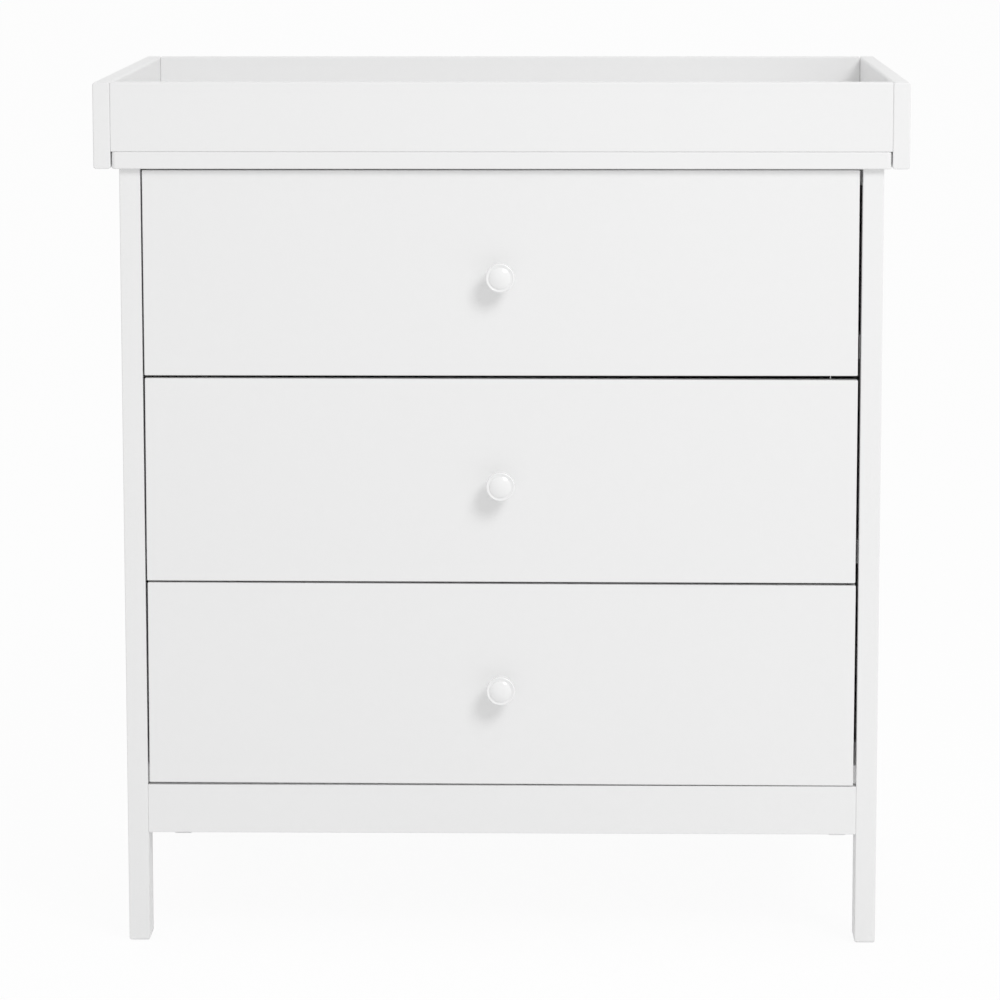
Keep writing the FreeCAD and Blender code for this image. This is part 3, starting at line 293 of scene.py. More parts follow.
def white_hardboard(name, tone):
    """Thin pressed board with a lacquered white face over fine fibres."""
    material, net, shader, place = new_material(name, tone, {"Specular IOR Level": 0.4})
    clouds = net.noise(place, scale=7.0, detail=4.0)
    along = net.stretch(place, (1.0, 1.0, 0.35))
    strands = net.noise(along, scale=520.0, detail=5.0, roughness=0.65)
    specks = net.node("ShaderNodeTexVoronoi", None, {"Vector": place, "Scale": 330.0})
    rough = strands * 0.7 + specks * 0.3
    tint(net, shader, clouds * 0.5 + strands * 0.5, tone, 0.95, 1.02)
    net.feed(shader.inputs["Roughness"], 0.42 + 0.16 * strands)
    bump(net, shader, rough, strength=0.3, distance=0.00012)
    return material


def powder_coat(name, tone):
    """Baked coating on folded steel, with a fine even grain."""
    material, net, shader, place = new_material(name, tone, {"Specular IOR Level": 0.5})
    grain = net.noise(place, scale=1500.0, detail=2.0, roughness=0.6)
    rubs = net.noise(net.stretch(place, (400.0, 6.0, 400.0)), scale=1.0, detail=4.0, roughness=0.7)
    tint(net, shader, rubs, tone, 1.01, 0.955)
    net.feed(shader.inputs["Roughness"], 0.30 + 0.16 * rubs + 0.04 * grain)
    bump(net, shader, grain, strength=0.25, distance=0.00008)
    return material


def zinc_plate(name, tone):
    """Bright zinc with a faint blue-grey mottling and turning marks."""
    material, net, shader, place = new_material(name, tone, {"Metallic": 1.0})
    mottle = net.noise(place, scale=700.0, detail=4.0, roughness=0.6)
    blotch = net.noise(place, scale=160.0, detail=2.0)
    tint(net, shader, blotch, tone, 0.88, 1.12)
    net.feed(shader.inputs["Roughness"], 0.24 + 0.20 * mottle)
    bump(net, shader, mottle, strength=0.2, distance=0.00004)
    return material


def moulded_nylon(name, tone):
    """Off-white moulded nylon: soft gloss, with the mould's fine texture."""
    material, net, shader, place = new_material(name, tone, {
        "Specular IOR Level": 0.5, "Subsurface Weight": 0.12,
        "Subsurface Radius": (0.004, 0.004, 0.003), "Subsurface Scale": 0.5,
    })
    clouds = net.noise(place, scale=240.0, detail=3.0)
    grain = net.noise(place, scale=2600.0, detail=2.0)
    tint(net, shader, clouds, tone, 0.96, 1.03)
    net.feed(shader.inputs["Roughness"], 0.36 + 0.12 * grain)
    bump(net, shader, grain, strength=0.2, distance=0.00005)
    return material


def bare_beech(name, tone):
    """Unfinished beech with long grain along the dowels and short dark flecks."""
    material, net, shader, place = new_material(name, tone, {"Specular IOR Level": 0.3})
    along = net.stretch(place, (900.0, 40.0, 900.0))
    grain = net.noise(along, scale=1.0, detail=4.0, roughness=0.6)
    flecks = net.noise(net.stretch(place, (2400.0, 260.0, 2400.0)), scale=1.0, detail=2.0)
    dark = net.node("ShaderNodeValToRGB", {"stops": ((0.60, 0.0), (0.70, 1.0))}, {0: flecks})
    warm = net.mix(grain, shade(tone, 0.80), shade(tone, 1.18))
    net.feed(shader.inputs["Base Color"], net.mix(dark, warm, shade(tone, 0.60)))
    net.feed(shader.inputs["Roughness"], 0.55 + 0.2 * grain)
    bump(net, shader, grain, strength=0.4, distance=0.0001)
    return material


FINISHES = {}


def finish_for(slot):
    """The finish of a material slot of the record, made once."""
    if slot not in FINISHES:
        look = bpy.context.scene.dresser_finish
        makers = {
            "painted_wood": lambda: satin_paint(
                "satin_white_paint", look.paint, look.paint_roughness, look.peel),
            "gloss_paint": lambda: gloss_paint(
                "gloss_white_paint", look.knob_paint, look.knob_roughness),
            "painted_board": lambda: white_hardboard("white_hardboard", look.hardboard),
            "coated_steel": lambda: powder_coat("coated_runner_steel", look.runner),
            "zinc_steel": lambda: zinc_plate("zinc_plated_steel", look.zinc),
            "nylon": lambda: moulded_nylon("moulded_nylon", look.nylon),
            "bare_wood": lambda: bare_beech("bare_beech", look.beech),
        }
        FINISHES[slot] = makers[slot]()
    return FINISHES[slot]


def body_of(node):
    """The moving body that a node belongs to."""
    return frame["nodes"][node]["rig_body"]


def slot_of(node):
    """The material slot that the record gives a node."""
    return frame["nodes"][node].data.materials[0].name.split(".")[0]


def dress(node):
    """A CAD node whose shape is right keeps it, and gets its finish."""
    solid = frame["nodes"][node]
    slot = slot_of(node)
    solid.data.materials.clear()
    solid.data.materials.append(finish_for(slot))


def settle(piece, node, slot):
    """A finished piece rides where its node does, and stands for it."""
    piece.data.materials.clear()
    piece.data.materials.append(finish_for(slot))
    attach(piece, body_of(node))
    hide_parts(node)


def new_piece(name, mesh):
    """A new object in the scene, at the origin."""
    piece = bpy.data.objects.new(name, mesh)
    bpy.context.scene.collection.objects.link(piece)
    return piece


def bake_modifiers(piece):
    """What the modifiers make becomes the piece's own plain mesh."""
    bpy.context.view_layer.update()
    graph = bpy.context.evaluated_depsgraph_get()
    plain = bpy.data.meshes.new_from_object(
        piece.evaluated_get(graph), preserve_all_data_layers=True, depsgraph=graph
    )
    piece.modifiers.clear()
    piece.data = plain
    return plain


def even_faces(piece, weight, keep_sharp=False):
    """Shading that follows the wide faces, baked with the other modifiers."""
    flat = piece.modifiers.new("Flat faces", "WEIGHTED_NORMAL")
    flat.weight = weight
    flat.keep_sharp = keep_sharp
    bake_modifiers(piece)


def set_inputs(modifier, **given):
    """Gives a Geometry Nodes modifier its inputs, by their identifiers."""
    for item in modifier.node_group.interface.items_tree:
        if item.item_type == "SOCKET" and item.in_out == "INPUT" and item.name in given:
            modifier[item.identifier] = given[item.name]


def geometry_net(name, inputs):
    """An empty Geometry Nodes tree with named inputs, and those inputs' sockets."""
    tree = bpy.data.node_groups.new(name, "GeometryNodeTree")
    tree.interface.new_socket("Geometry", in_out="OUTPUT", socket_type="NodeSocketGeometry")
    tree.interface.new_socket("Geometry", in_out="INPUT", socket_type="NodeSocketGeometry")
    for label, kind in inputs.items():
        tree.interface.new_socket(label, in_out="INPUT", socket_type=f"NodeSocket{kind}")
    net = Net(tree)
    start = tree.nodes.new("NodeGroupInput")
    sockets = {socket.name: Value(net, socket) for socket in start.outputs if socket.name}
    return net, sockets


def close_net(net, geometry, material):
    """Realize Instances and Set Material, and the tree's end."""
    real = net.node("GeometryNodeRealizeInstances", None, {0: geometry})
    painted = net.node("GeometryNodeSetMaterial", None, {"Geometry": real, "Material": material})
    net.node("NodeGroupOutput", None, {0: painted})
    return net.tree


# Boards.

CUBE_STEPS = 6       # points along each edge of the cube that a board starts from
INNER_STEP = 0.2     # the innermost of them, of half the cube's width
EASE_STEPS = 3       # steps round an eased edge
FOOT_STEPS = 4       # steps round the wider rounding at a post's foot
CORNER_STEPS = 6     # steps round a board's rounded corner
EASED_ANGLE = math.radians(40)   # edges that turn more than this are eased
BOARD_WEIGHT = 100   # how much a board's normals follow its wide faces
TURNED_WEIGHT = 50   # the same for turned and detailed pieces


def eased_board_tree():
    """A board with every edge and corner rounded, from its size, middle and ease."""
    net, given = geometry_net("eased_board", {
        "Size": "Vector", "Middle": "Vector", "Ease": "Float", "Finish": "Material",
    })
    cube = net.node("GeometryNodeMeshCube", None, {
        "Size": (2.0, 2.0, 2.0),
        "Vertices X": CUBE_STEPS, "Vertices Y": CUBE_STEPS, "Vertices Z": CUBE_STEPS,
    })
    place = net.node("GeometryNodeInputPosition")
    sign = net.vector("SIGN", place)
    reach = net.vector("SUBTRACT", net.vector("ABSOLUTE", place), (INNER_STEP,) * 3)
    turn = math.pi / 4 / (1 - INNER_STEP)
    slope = net.vector("TANGENT", net.vector("MULTIPLY", reach, (turn,) * 3))
    outward = net.vector("NORMALIZE", slope)
    core = net.vector("SUBTRACT", net.vector("MULTIPLY", given["Size"], (0.5,) * 3), given["Ease"])
    rounded = net.vector("ADD", core, net.vector("MULTIPLY", outward, given["Ease"]))
    at = net.vector("ADD", net.vector("MULTIPLY", sign, rounded), given["Middle"])
    shaped = net.node("GeometryNodeSetPosition", None, {"Geometry": cube, "Position": at})
    smooth = net.node("GeometryNodeSetShadeSmooth", None, {"Geometry": shaped})
    return close_net(net, smooth, given["Finish"])


def eased_board(node, ease, hang=None):
    """A painted board with eased edges, in true or hanging a little out of it."""
    low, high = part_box(node)
    piece = new_piece(f"eased_{node}", bpy.data.meshes.new(f"eased_{node}"))
    shape = piece.modifiers.new("Board", "NODES")
    shape.node_group = bpy.data.node_groups.get("eased_board") or eased_board_tree()
    set_inputs(
        shape, Size=high - low, Middle=(high + low) / 2, Ease=ease,
        Finish=finish_for("painted_wood"),
    )
    even_faces(piece, BOARD_WEIGHT)
    if hang:
        across, up, tilt = hang
        middle = Matrix.Translation((low + high) / 2)
        shift = Matrix.Translation((across, 0.0, up))
        piece.data.transform(shift @ middle @ Matrix.Rotation(tilt, 4, "Y") @ middle.inverted())
    settle(piece, node, "painted_wood")


# How far each drawer front hangs out of true: across, up and turned, as after years of use.
FRONT_HANG = {
    "lower": (-0.0005, -0.0006, math.radians(0.14)),
    "middle": (-0.0006, -0.0006, math.radians(0.094)),
    "upper": (-0.0008, 0.0008, math.radians(-0.03)),
}


def footed_post(node, ease, foot):
    """A square post with eased edges, rounded more at its lower end."""
    low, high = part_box(node)
    shape = bmesh.new()
    bmesh.ops.create_cube(shape, size=1.0)
    bmesh.ops.scale(shape, vec=high - low, verts=shape.verts)
    bmesh.ops.translate(shape, vec=(high + low) / 2, verts=shape.verts)
    weights = shape.edges.layers.float.new("bevel_weight_edge")
    for edge in shape.edges:
        at_foot = all(vert.co.z < (low.z + high.z) / 2 for vert in edge.verts)
        edge[weights] = 1.0 if at_foot else ease / foot
    for face in shape.faces:
        face.smooth = True
    piece = to_piece(f"footed_{node}", shape)
    rounding = piece.modifiers.new("Rounding", "BEVEL")
    rounding.width = foot
    rounding.segments = FOOT_STEPS
    rounding.limit_method = "WEIGHT"
    even_faces(piece, BOARD_WEIGHT)
    settle(piece, node, "painted_wood")


def rounded_outline(wide, tall, corner):
    """A rectangle about the origin with rounded corners, anticlockwise."""
    points = []
    for quarter, (across, up) in enumerate(((1, 1), (-1, 1), (-1, -1), (1, -1))):
        for step in range(CORNER_STEPS + 1):
            angle = math.pi / 2 * (quarter + step / CORNER_STEPS)
            points.append((
                across * (wide / 2 - corner) + corner * math.cos(angle),
                up * (tall / 2 - corner) + corner * math.sin(angle),
            ))
    return points


def shaped_board(node, flat_axis, corner, ease):
    """A board with rounded corners in its wide face, and eased edges."""
    low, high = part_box(node)
    middle, size = (low + high) / 2, high - low
    across, up = [axis for axis in range(3) if axis != flat_axis]
    shape = bmesh.new()
    ring = []
    for first, second in rounded_outline(size[across], size[up], corner):
        spot = middle.copy()
        spot[across] += first
        spot[up] += second
        spot[flat_axis] = low[flat_axis]
        ring.append(shape.verts.new(spot))
    bottom = shape.faces.new(ring)
    grown = bmesh.ops.extrude_face_region(shape, geom=[bottom])
    lift = Vector()
    lift[flat_axis] = size[flat_axis]
    raised = [part for part in grown["geom"] if isinstance(part, bmesh.types.BMVert)]
    bmesh.ops.translate(shape, vec=lift, verts=raised)
    bmesh.ops.recalc_face_normals(shape, faces=shape.faces)
    piece = to_piece(f"shaped_{node}", shape)
    piece.data.shade_smooth()
    rounding = piece.modifiers.new("Ease", "BEVEL")
    rounding.width = ease
    rounding.segments = EASE_STEPS
    rounding.limit_method = "ANGLE"
    rounding.angle_limit = EASED_ANGLE
    even_faces(piece, BOARD_WEIGHT)
    settle(piece, node, "painted_wood")


# Turned pieces.

def turned(profile, seat, axis, segments):
    """A closed shape turned about an axis through its seat, from (radius, distance) points."""
    along = axis.normalized()
    across = along.orthogonal().normalized()
    beside = along.cross(across)
    shape = bmesh.new()
    rings = []
    for radius, distance in profile:
        hub = seat + along * distance
        if radius < TINY:
            rings.append([shape.verts.new(hub)])
            continue
        rings.append([
            shape.verts.new(hub + radius * (
                math.cos(2 * math.pi * step / segments) * across
                + math.sin(2 * math.pi * step / segments) * beside
            ))
            for step in range(segments)
        ])
    closed = rings[0] if profile[0] == profile[-1] else None
    if closed:
        for vert in rings[-1]:
            shape.verts.remove(vert)
        rings[-1] = rings[0]
    for first, second in zip(rings, rings[1:]):
        for step in range(segments):
            after = (step + 1) % segments
            corners = []
            for vert in (first[step % len(first)], first[after % len(first)],
                         second[after % len(second)], second[step % len(second)]):
                if vert not in corners:
                    corners.append(vert)
            if len(corners) > 2:
                shape.faces.new(corners)
    bmesh.ops.recalc_face_normals(shape, faces=shape.faces)
    for face in shape.faces:
        face.smooth = True
    return shape


def arc(start, end, radius, bulge, steps):
    """Points of an arc of the given radius from start to end, bulging to one side."""
    first, last = Vector(start), Vector(end)
    chord = last - first
    side = Vector((-chord.y, chord.x)).normalized() * bulge
    drop = math.sqrt(max(radius ** 2 - (chord.length / 2) ** 2, 0.0))
    centre = (first + last) / 2 - side * drop
    begin, finish = first - centre, last - centre
    sweep = begin.angle_signed(finish)
    points = []
    for step in range(steps + 1):
        turned_by = Matrix.Rotation(-sweep * step / steps, 2)
        points.append(tuple(centre + turned_by @ begin))
    return points


HOLLOW, ROUND = 1, -1      # which way an arc of a turned piece's outline bulges
KNOB_FOOT = 0.0003         # chamfer where a knob's neck meets the drawer front
NECK_RINGS = (0.35, 0.7)   # rings round the neck, as shares of its straight part


def knob_profile(knob, radius, reach):
    """The knob's outline from its foot to the middle of its face."""
    rise = knob.rim_top - knob.bead_start
    width = radius - knob.crest
    bead = (width ** 2 + rise ** 2) / (2 * width)
    floor = knob.rim_top - knob.groove_depth
    dome_radius = (knob.dome ** 2 + knob.dome_rise ** 2) / (2 * knob.dome_rise)
    profile = [(0.0, 0.0), (knob.neck - KNOB_FOOT, 0.0), (knob.neck, KNOB_FOOT)]
    profile += [(knob.neck, knob.neck_length * part) for part in NECK_RINGS]
    profile += arc(
        (knob.neck, knob.neck_length), (radius, knob.rim_start), knob.flare, HOLLOW, steps=10
    )
    profile += arc((radius, knob.bead_start), (knob.crest, knob.rim_top), bead, ROUND, steps=6)
    profile += [(knob.groove_outside, floor), (knob.dome, floor)]
    profile += arc(
        (knob.dome, reach - knob.dome_rise), (0.0, reach), dome_radius, ROUND, steps=14
    )
    return profile


def soften(piece, angle):
    """Smooth shading that stays crisp at the sharp edges."""
    piece.data.set_sharp_from_angle(angle=math.radians(angle))
    even_faces(piece, TURNED_WEIGHT, keep_sharp=True)


def to_piece(name, shape):
    """A new object from a shape, which is used up."""
    mesh = bpy.data.meshes.new(name)
    shape.to_mesh(mesh)
    shape.free()
    return new_piece(name, mesh)


def join_shapes(shapes):
    """Several shapes in one."""
    whole = bmesh.new()
    for shape in shapes:
        part = bpy.data.meshes.new("part")
        shape.to_mesh(part)
        shape.free()
        whole.from_mesh(part)
        bpy.data.meshes.remove(part)
    return whole


def islands(node):
    """The separate solids in a CAD node, as lists of points."""
    shape = bmesh.new()
    shape.from_mesh(frame["nodes"][node].data)
    bmesh.ops.remove_doubles(shape, verts=shape.verts, dist=WELD)
    left = set(shape.verts)
    found = []
    while left:
        edge_of_search = [left.pop()]
        group = []
        while edge_of_search:
            vert = edge_of_search.pop()
            group.append(vert.co.copy())
            for edge in vert.link_edges:
                other = edge.other_vert(vert)
                if other in left:
                    left.discard(other)
                    edge_of_search.append(other)
        found.append(group)
    shape.free()
    found.sort(key=lambda group: tuple(round(part, 5) for part in box_of(group)[0]))
    return found


def box_of(points):
    """The low and high corners round some points."""
    low = Vector(min(point[axis] for point in points) for axis in range(3))
    high = Vector(max(point[axis] for point in points) for axis in range(3))
    return low, high


# Fixings.

CAM_WIDTH = 0.015
CAM_SLACK = 2e-4     # how far off a cam's measured width may be
NAIL_WIDTH = 0.005   # the heads of nails are narrower
END_REACH = 1.5e-4   # points this near an end of a fixing belong to that end


def fixing(points):
    """What a CAD fixing is, where its outer face is, which way that looks, and its sizes."""
    low, high = box_of(points)
    size, middle = high - low, (low + high) / 2
    wide = sorted(size)
    if abs(wide[2] - CAM_WIDTH) < CAM_SLACK and wide[1] > 0.9 * CAM_WIDTH:
        axis = min(range(3), key=lambda way: sum(
            abs((point - middle).length_squared - (point - middle)[way] ** 2 - (CAM_WIDTH / 2) ** 2)
            for point in points
        ))
        aim = Vector()
        aim[axis] = -1.0 if axis == 2 or middle[axis] > 0 else 1.0
        return "cam", middle + aim * size[axis] / 2, aim, (CAM_WIDTH, size[axis])
    axis = max(range(3), key=lambda way: size[way])
    girth = []
    for end in (low[axis], high[axis]):
        near = [point - middle for point in points if abs(point[axis] - end) < END_REACH]
        girth.append(max(math.sqrt(max(away.length_squared - away[axis] ** 2, 0)) for away in near))
    aim = Vector()
    aim[axis] = -1.0 if girth[0] > girth[1] + TINY else 1.0
    if abs(girth[0] - girth[1]) < TINY:
        kind = "bolt"
    else:
        kind = "nail" if wide[0] < NAIL_WIDTH else "screw"
    return kind, middle + aim * size[axis] / 2, aim, (wide[0], size[axis])


CHAMFER = 0.06       # depth of a head's chamfer, of its crown's radius
SHANK_SHARE = 0.84   # straight part of what lies under a head; its tip is the rest
TIP_WIDTH = 0.25     # end of a tip, of the shank's radius
RECESS_DEPTH = 2.2   # of a slot's width, half of it above the head
HEAD_SIDES, SHANK_SIDES = 32, 16


def pin_tree(kind):
    """A screw, nail, bolt or cam at each point, with its outer face at the point."""
    net, given = geometry_net(kind, {
        "Head Radius": "Float", "Head Height": "Float", "Crown Radius": "Float",
        "Shank Radius": "Float", "Length": "Float", "Recess": "Float", "Slot": "Float",
        "Finish": "Material",
    })
    below = given["Length"] - given["Head Height"]
    head = net.node("GeometryNodeMeshCone", {"fill_type": "NGON"}, {
        "Vertices": HEAD_SIDES, "Radius Top": given["Crown Radius"],
        "Radius Bottom": given["Head Radius"], "Depth": given["Crown Radius"] * CHAMFER,
    })
    head = moved(net, head, given["Crown Radius"] * -CHAMFER)
    drum = net.node("GeometryNodeMeshCylinder", {"fill_type": "NGON"}, {
        "Vertices": HEAD_SIDES, "Radius": given["Head Radius"],
        "Depth": given["Head Height"] - given["Crown Radius"] * CHAMFER,
    })
    drum = moved(net, drum, given["Head Height"] * -0.5 - given["Crown Radius"] * (CHAMFER / 2))
    crown = net.node("GeometryNodeMeshBoolean", {"operation": "UNION", "solver": "EXACT"}, {
        "Mesh 2": joined(net, [head, drum]),
    })
    bars = []
    for turn in (0.0, math.pi / 2):
        bar = net.node("GeometryNodeMeshCube", None, {
            "Size": combined(net, given["Recess"], given["Slot"], given["Slot"] * RECESS_DEPTH),
        })
        bars.append(net.node("GeometryNodeTransform", None, {
            "Geometry": bar, "Rotation": (0.0, 0.0, turn),
        }))
    cut = net.node("GeometryNodeMeshBoolean", {"operation": "DIFFERENCE", "solver": "EXACT"}, {
        "Mesh 1": crown, "Mesh 2": joined(net, bars),
    })
    shank = net.node("GeometryNodeMeshCylinder", {"fill_type": "NGON"}, {
        "Vertices": SHANK_SIDES, "Radius": given["Shank Radius"], "Depth": below * SHANK_SHARE,
    })
    shank = moved(net, shank, given["Head Height"] * -1.0 - below * (SHANK_SHARE / 2))
    tip = net.node("GeometryNodeMeshCone", {"fill_type": "NGON"}, {
        "Vertices": SHANK_SIDES, "Radius Top": given["Shank Radius"],
        "Radius Bottom": given["Shank Radius"] * TIP_WIDTH, "Depth": below * (1 - SHANK_SHARE),
    })
    tip = moved(net, tip, given["Length"] * -1.0)
    whole = joined(net, [cut, shank, tip])
    aim = net.node(
        "GeometryNodeInputNamedAttribute", {"data_type": "FLOAT_VECTOR"}, {"Name": "aim"}
    )
    turned_to = net.node("FunctionNodeAlignRotationToVector", {"axis": "Z"}, {"Vector": aim})
    many = net.node("GeometryNodeInstanceOnPoints", None, {
        "Points": given["Geometry"], "Instance": whole, "Rotation": turned_to,
    })
    return close_net(net, many, given["Finish"])


def moved(net, geometry, lift):
    """Geometry lifted along Z."""
    return net.node("GeometryNodeTransform", None, {
        "Geometry": geometry, "Translation": combined(net, 0.0, 0.0, lift),
    })


def combined(net, x, y, z):
    """Three numbers as one vector."""
    return net.node("ShaderNodeCombineXYZ", None, {"X": x, "Y": y, "Z": z})


def joined(net, parts):
    """Join Geometry takes its parts in one socket."""
    made = net.tree.nodes.new("GeometryNodeJoinGeometry")
    for part in parts:
        net.tree.links.new(part.socket, made.inputs[0])
    return Value(net, made.outputs[0])


# Per kind: the head's height, or None for all of the length; crown and shank as shares of the
# head's radius; recess and slot as shares of its width.
PIN_SHAPES = {
    "screw": (0.0018, 0.80, 0.50, 1.15, 0.24),
    "long_screw": (0.0024, 0.92, 0.52, 1.15, 0.24),
    "nail": (0.0006, 0.85, 0.40, 0.0, 0.0),
    "cam": (None, 0.94, 0.0, 0.62, 0.16),
    "bolt": (0.003, 0.90, 0.95, 0.0, 0.0),
}
LONG_SCREW = 0.02    # longer screws have the thicker head
CAM_SHARE = 0.999    # a cam is all head but for this


def fixings(node, slot):
    """The screws, nails, cams and bolts of one CAD node, as one piece."""
    groups = {}
    for points in islands(node):
        kind, face, aim, sizes = fixing(points)
        if kind == "screw" and sizes[1] > LONG_SCREW:
            kind = "long_screw"
        key = (kind, *(round(part, 4) for part in sizes))
        groups.setdefault(key, []).append((face, aim, sizes))
    shapes = []
    for (kind, *_), found in sorted(groups.items()):
        height, crown, shank, recess, groove = PIN_SHAPES[kind]
        wide, long = found[0][2]
        mesh = bpy.data.meshes.new("points")
        mesh.from_pydata([face for face, _, _ in found], [], [])
        aims = mesh.attributes.new("aim", "FLOAT_VECTOR", "POINT")
        for spot, (_, aim, _) in zip(aims.data, found):
            spot.vector = aim
        holder = new_piece("points", mesh)
        maker = holder.modifiers.new("Fixings", "NODES")
        maker.node_group = bpy.data.node_groups.get(kind) or pin_tree(kind)
        radius = wide / 2
        set_inputs(maker, **{
            "Head Radius": radius, "Head Height": height or long * CAM_SHARE,
            "Crown Radius": radius * crown, "Shank Radius": max(radius * shank, TINY),
            "Length": long, "Recess": max(recess * wide, TINY), "Slot": max(groove * wide, TINY),
            "Finish": finish_for(slot),
        })
        plain = bake_modifiers(holder)
        shape = bmesh.new()
        shape.from_mesh(plain)
        shapes.append(shape)
        bpy.data.objects.remove(holder)
    piece = to_piece(f"detailed_{node}", join_shapes(shapes))
    piece.data.shade_smooth()
    soften(piece, angle=35)
    settle(piece, node, slot)


# One operator for each group of pieces.

class DRESSER_OT_carcass(bpy.types.Operator):
    """Makes the posts, side panels and top, and paints the rails behind them"""
    bl_idname = "dresser.carcass"
    bl_label = "Posts, panels and top"

    def execute(self, context):
        sizes = context.scene.dresser_boards
        for end in ("front", "back"):
            for side in SIDES:
                footed_post(f"{end}_{side}_post", sizes.ease, sizes.foot)
        for side in SIDES:
            eased_board(f"{side}_side_panel", sizes.ease)
        shaped_board("top_panel", TALL, sizes.top_corner, sizes.top_ease)
        for node in (
            "front_apron", "front_top_rail", "back_bottom_rail", "back_top_rail", "back_panel",
        ):
            dress(node)
        return {"FINISHED"}


class DRESSER_OT_tray(bpy.types.Operator):
    """Makes the lift-off changing tray's side boards and paints its rails"""
    bl_idname = "dresser.tray"
    bl_label = "Changing tray"

    def execute(self, context):
        sizes = context.scene.dresser_boards
        for side in SIDES:
            shaped_board(f"tray_{side}_side", DEEP, sizes.tray_corner, sizes.tray_ease)
        for end in ("front", "back"):
            dress(f"tray_{end}_rail")
        return {"FINISHED"}


class DRESSER_OT_drawers(bpy.types.Operator):
    """Makes the drawer fronts and paints the drawer boxes"""
    bl_idname = "dresser.drawers"
    bl_label = "Drawers"

    def execute(self, context):
        sizes = context.scene.dresser_boards
        for level in LEVELS:
            eased_board(f"{level}_drawer_front", sizes.ease, hang=FRONT_HANG[level])
            for part in ("left_side", "right_side", "back", "bottom"):
                dress(f"{level}_drawer_{part}")
        return {"FINISHED"}


class DRESSER_OT_knobs(bpy.types.Operator):
    """Turns the three knobs"""
    bl_idname = "dresser.knobs"
    bl_label = "Knobs"

    def execute(self, context):
        knob = context.scene.dresser_knob
        for level in LEVELS:
            node = f"{level}_drawer_knob"
            low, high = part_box(node)
            across, up, _ = FRONT_HANG[level]
            seat = Vector(((low.x + high.x) / 2 + across, high.y, (low.z + high.z) / 2 + up))
            profile = knob_profile(knob, (high.x - low.x) / 2, high.y - low.y)
            shape = turned(profile, seat, Vector((0, -1, 0)), segments=72)
            piece = to_piece(f"turned_{node}", shape)
            soften(piece, angle=50)
            settle(piece, node, "gloss_paint")
        return {"FINISHED"}


class DRESSER_OT_runners(bpy.types.Operator):
    """Coats the runners and turns their rollers"""
    bl_idname = "dresser.runners"
    bl_label = "Runners and rollers"

    def execute(self, context):
        for level in LEVELS:
            for side in SIDES:
                dress(f"{level}_{side}_cabinet_runner")
                dress(f"{level}_drawer_{side}_runner")
            for member in ("cabinet", "drawer"):
                roller_pair(f"{level}_{member}_rollers")
        return {"FINISHED"}


ROLLER_RINGS = (0.27, 0.47, 0.80)   # bore, hub and inside of the tread, of a roller's radius
ROLLER_CHAMFER = 0.0002
ROLLER_DRAFT = 0.0003    # slope of the hub's and the tread's sides
ROLLER_DISH = 0.0009     # depth of the web below the hub
ROLLER_EDGE = 0.0006     # rounding of the tread


def roller_pair(node):
    """Two nylon wheels with a tread, a hollow web and a hub, on one line."""
    shapes = []
    for points in islands(node):
        low, high = box_of(points)
        wide, radius = high.x - low.x, (high.z - low.z) / 2
        seat = Vector((low.x, (low.y + high.y) / 2, (low.z + high.z) / 2))
        bore, hub, tread = (part * radius for part in ROLLER_RINGS)
        corner = ROLLER_EDGE * 0.3
        half = [
            (bore, wide / 2), (bore, ROLLER_CHAMFER), (bore + ROLLER_CHAMFER, 0.0),
            (hub - ROLLER_DRAFT, 0.0), (hub, ROLLER_DRAFT),
            (hub + ROLLER_CHAMFER, ROLLER_DISH), (tread - ROLLER_DRAFT, ROLLER_DISH),
            (tread, ROLLER_DRAFT), (tread + ROLLER_DRAFT, 0.0),
            (radius - ROLLER_EDGE, 0.0), (radius - corner, corner),
            (radius, ROLLER_EDGE), (radius, wide / 2),
        ]
        other = [(away, wide - along) for away, along in reversed(half[:-1])]
        shapes.append(turned(half + other, seat, Vector((1, 0, 0)), segments=48))
    piece = to_piece(f"turned_{node}", join_shapes(shapes))
    soften(piece, angle=50)
    settle(piece, node, "nylon")


class DRESSER_OT_fixings(bpy.types.Operator):
    """Makes the screws, nails and cams, and finishes the dowels"""
    bl_idname = "dresser.fixings"
    bl_label = "Fixings"

    def execute(self, context):
        fixings("carcass_screws", "zinc_steel")
        fixings("carcass_cam_fittings", "zinc_steel")
        fixings("tray_cam_fittings", "zinc_steel")
        for level in LEVELS:
            fixings(f"{level}_drawer_fixings", "zinc_steel")
        dress("side_panel_dowels")
        return {"FINISHED"}


class DRESSER_OT_glides(bpy.types.Operator):
    """Turns the nylon glides under the posts"""
    bl_idname = "dresser.glides"
    bl_label = "Foot glides"

    def execute(self, context):
        glides = [foot_glide(points) for points in islands("foot_glides")]
        piece = to_piece("turned_foot_glides", join_shapes(glides))
        soften(piece, angle=45)
        settle(piece, "foot_glides", "nylon")
        return {"FINISHED"}


GLIDE_EDGE = 0.0006   # rounding under a glide's disc
GLIDE_RIM = 0.9       # points beyond this share of the radius are on the disc's rim


def foot_glide(points):
    """A nylon glide: a disc with a rounded lower edge, on a pointed pin."""
    low, high = box_of(points)
    radius, top = (high.x - low.x) / 2, high.z - low.z
    seat = Vector(((low.x + high.x) / 2, (low.y + high.y) / 2, low.z))
    spots = [((point - seat).xy.length, point.z - low.z) for point in points]
    disc = max(up for away, up in spots if away > GLIDE_RIM * radius)
    pin = max(away for away, up in spots if up > 2 * disc)
    profile = [(0.0, 0.0), (radius - 2 * GLIDE_EDGE, 0.0)]
    profile += arc(
        (radius - GLIDE_EDGE, 0.0), (radius, GLIDE_EDGE), GLIDE_EDGE, ROUND, steps=5
    )
    profile += [(radius, disc), (pin, disc), (pin, top - pin), (0.0, top)]
    return turned(profile, seat, Vector((0, 0, 1)), segments=40)


# The studio.

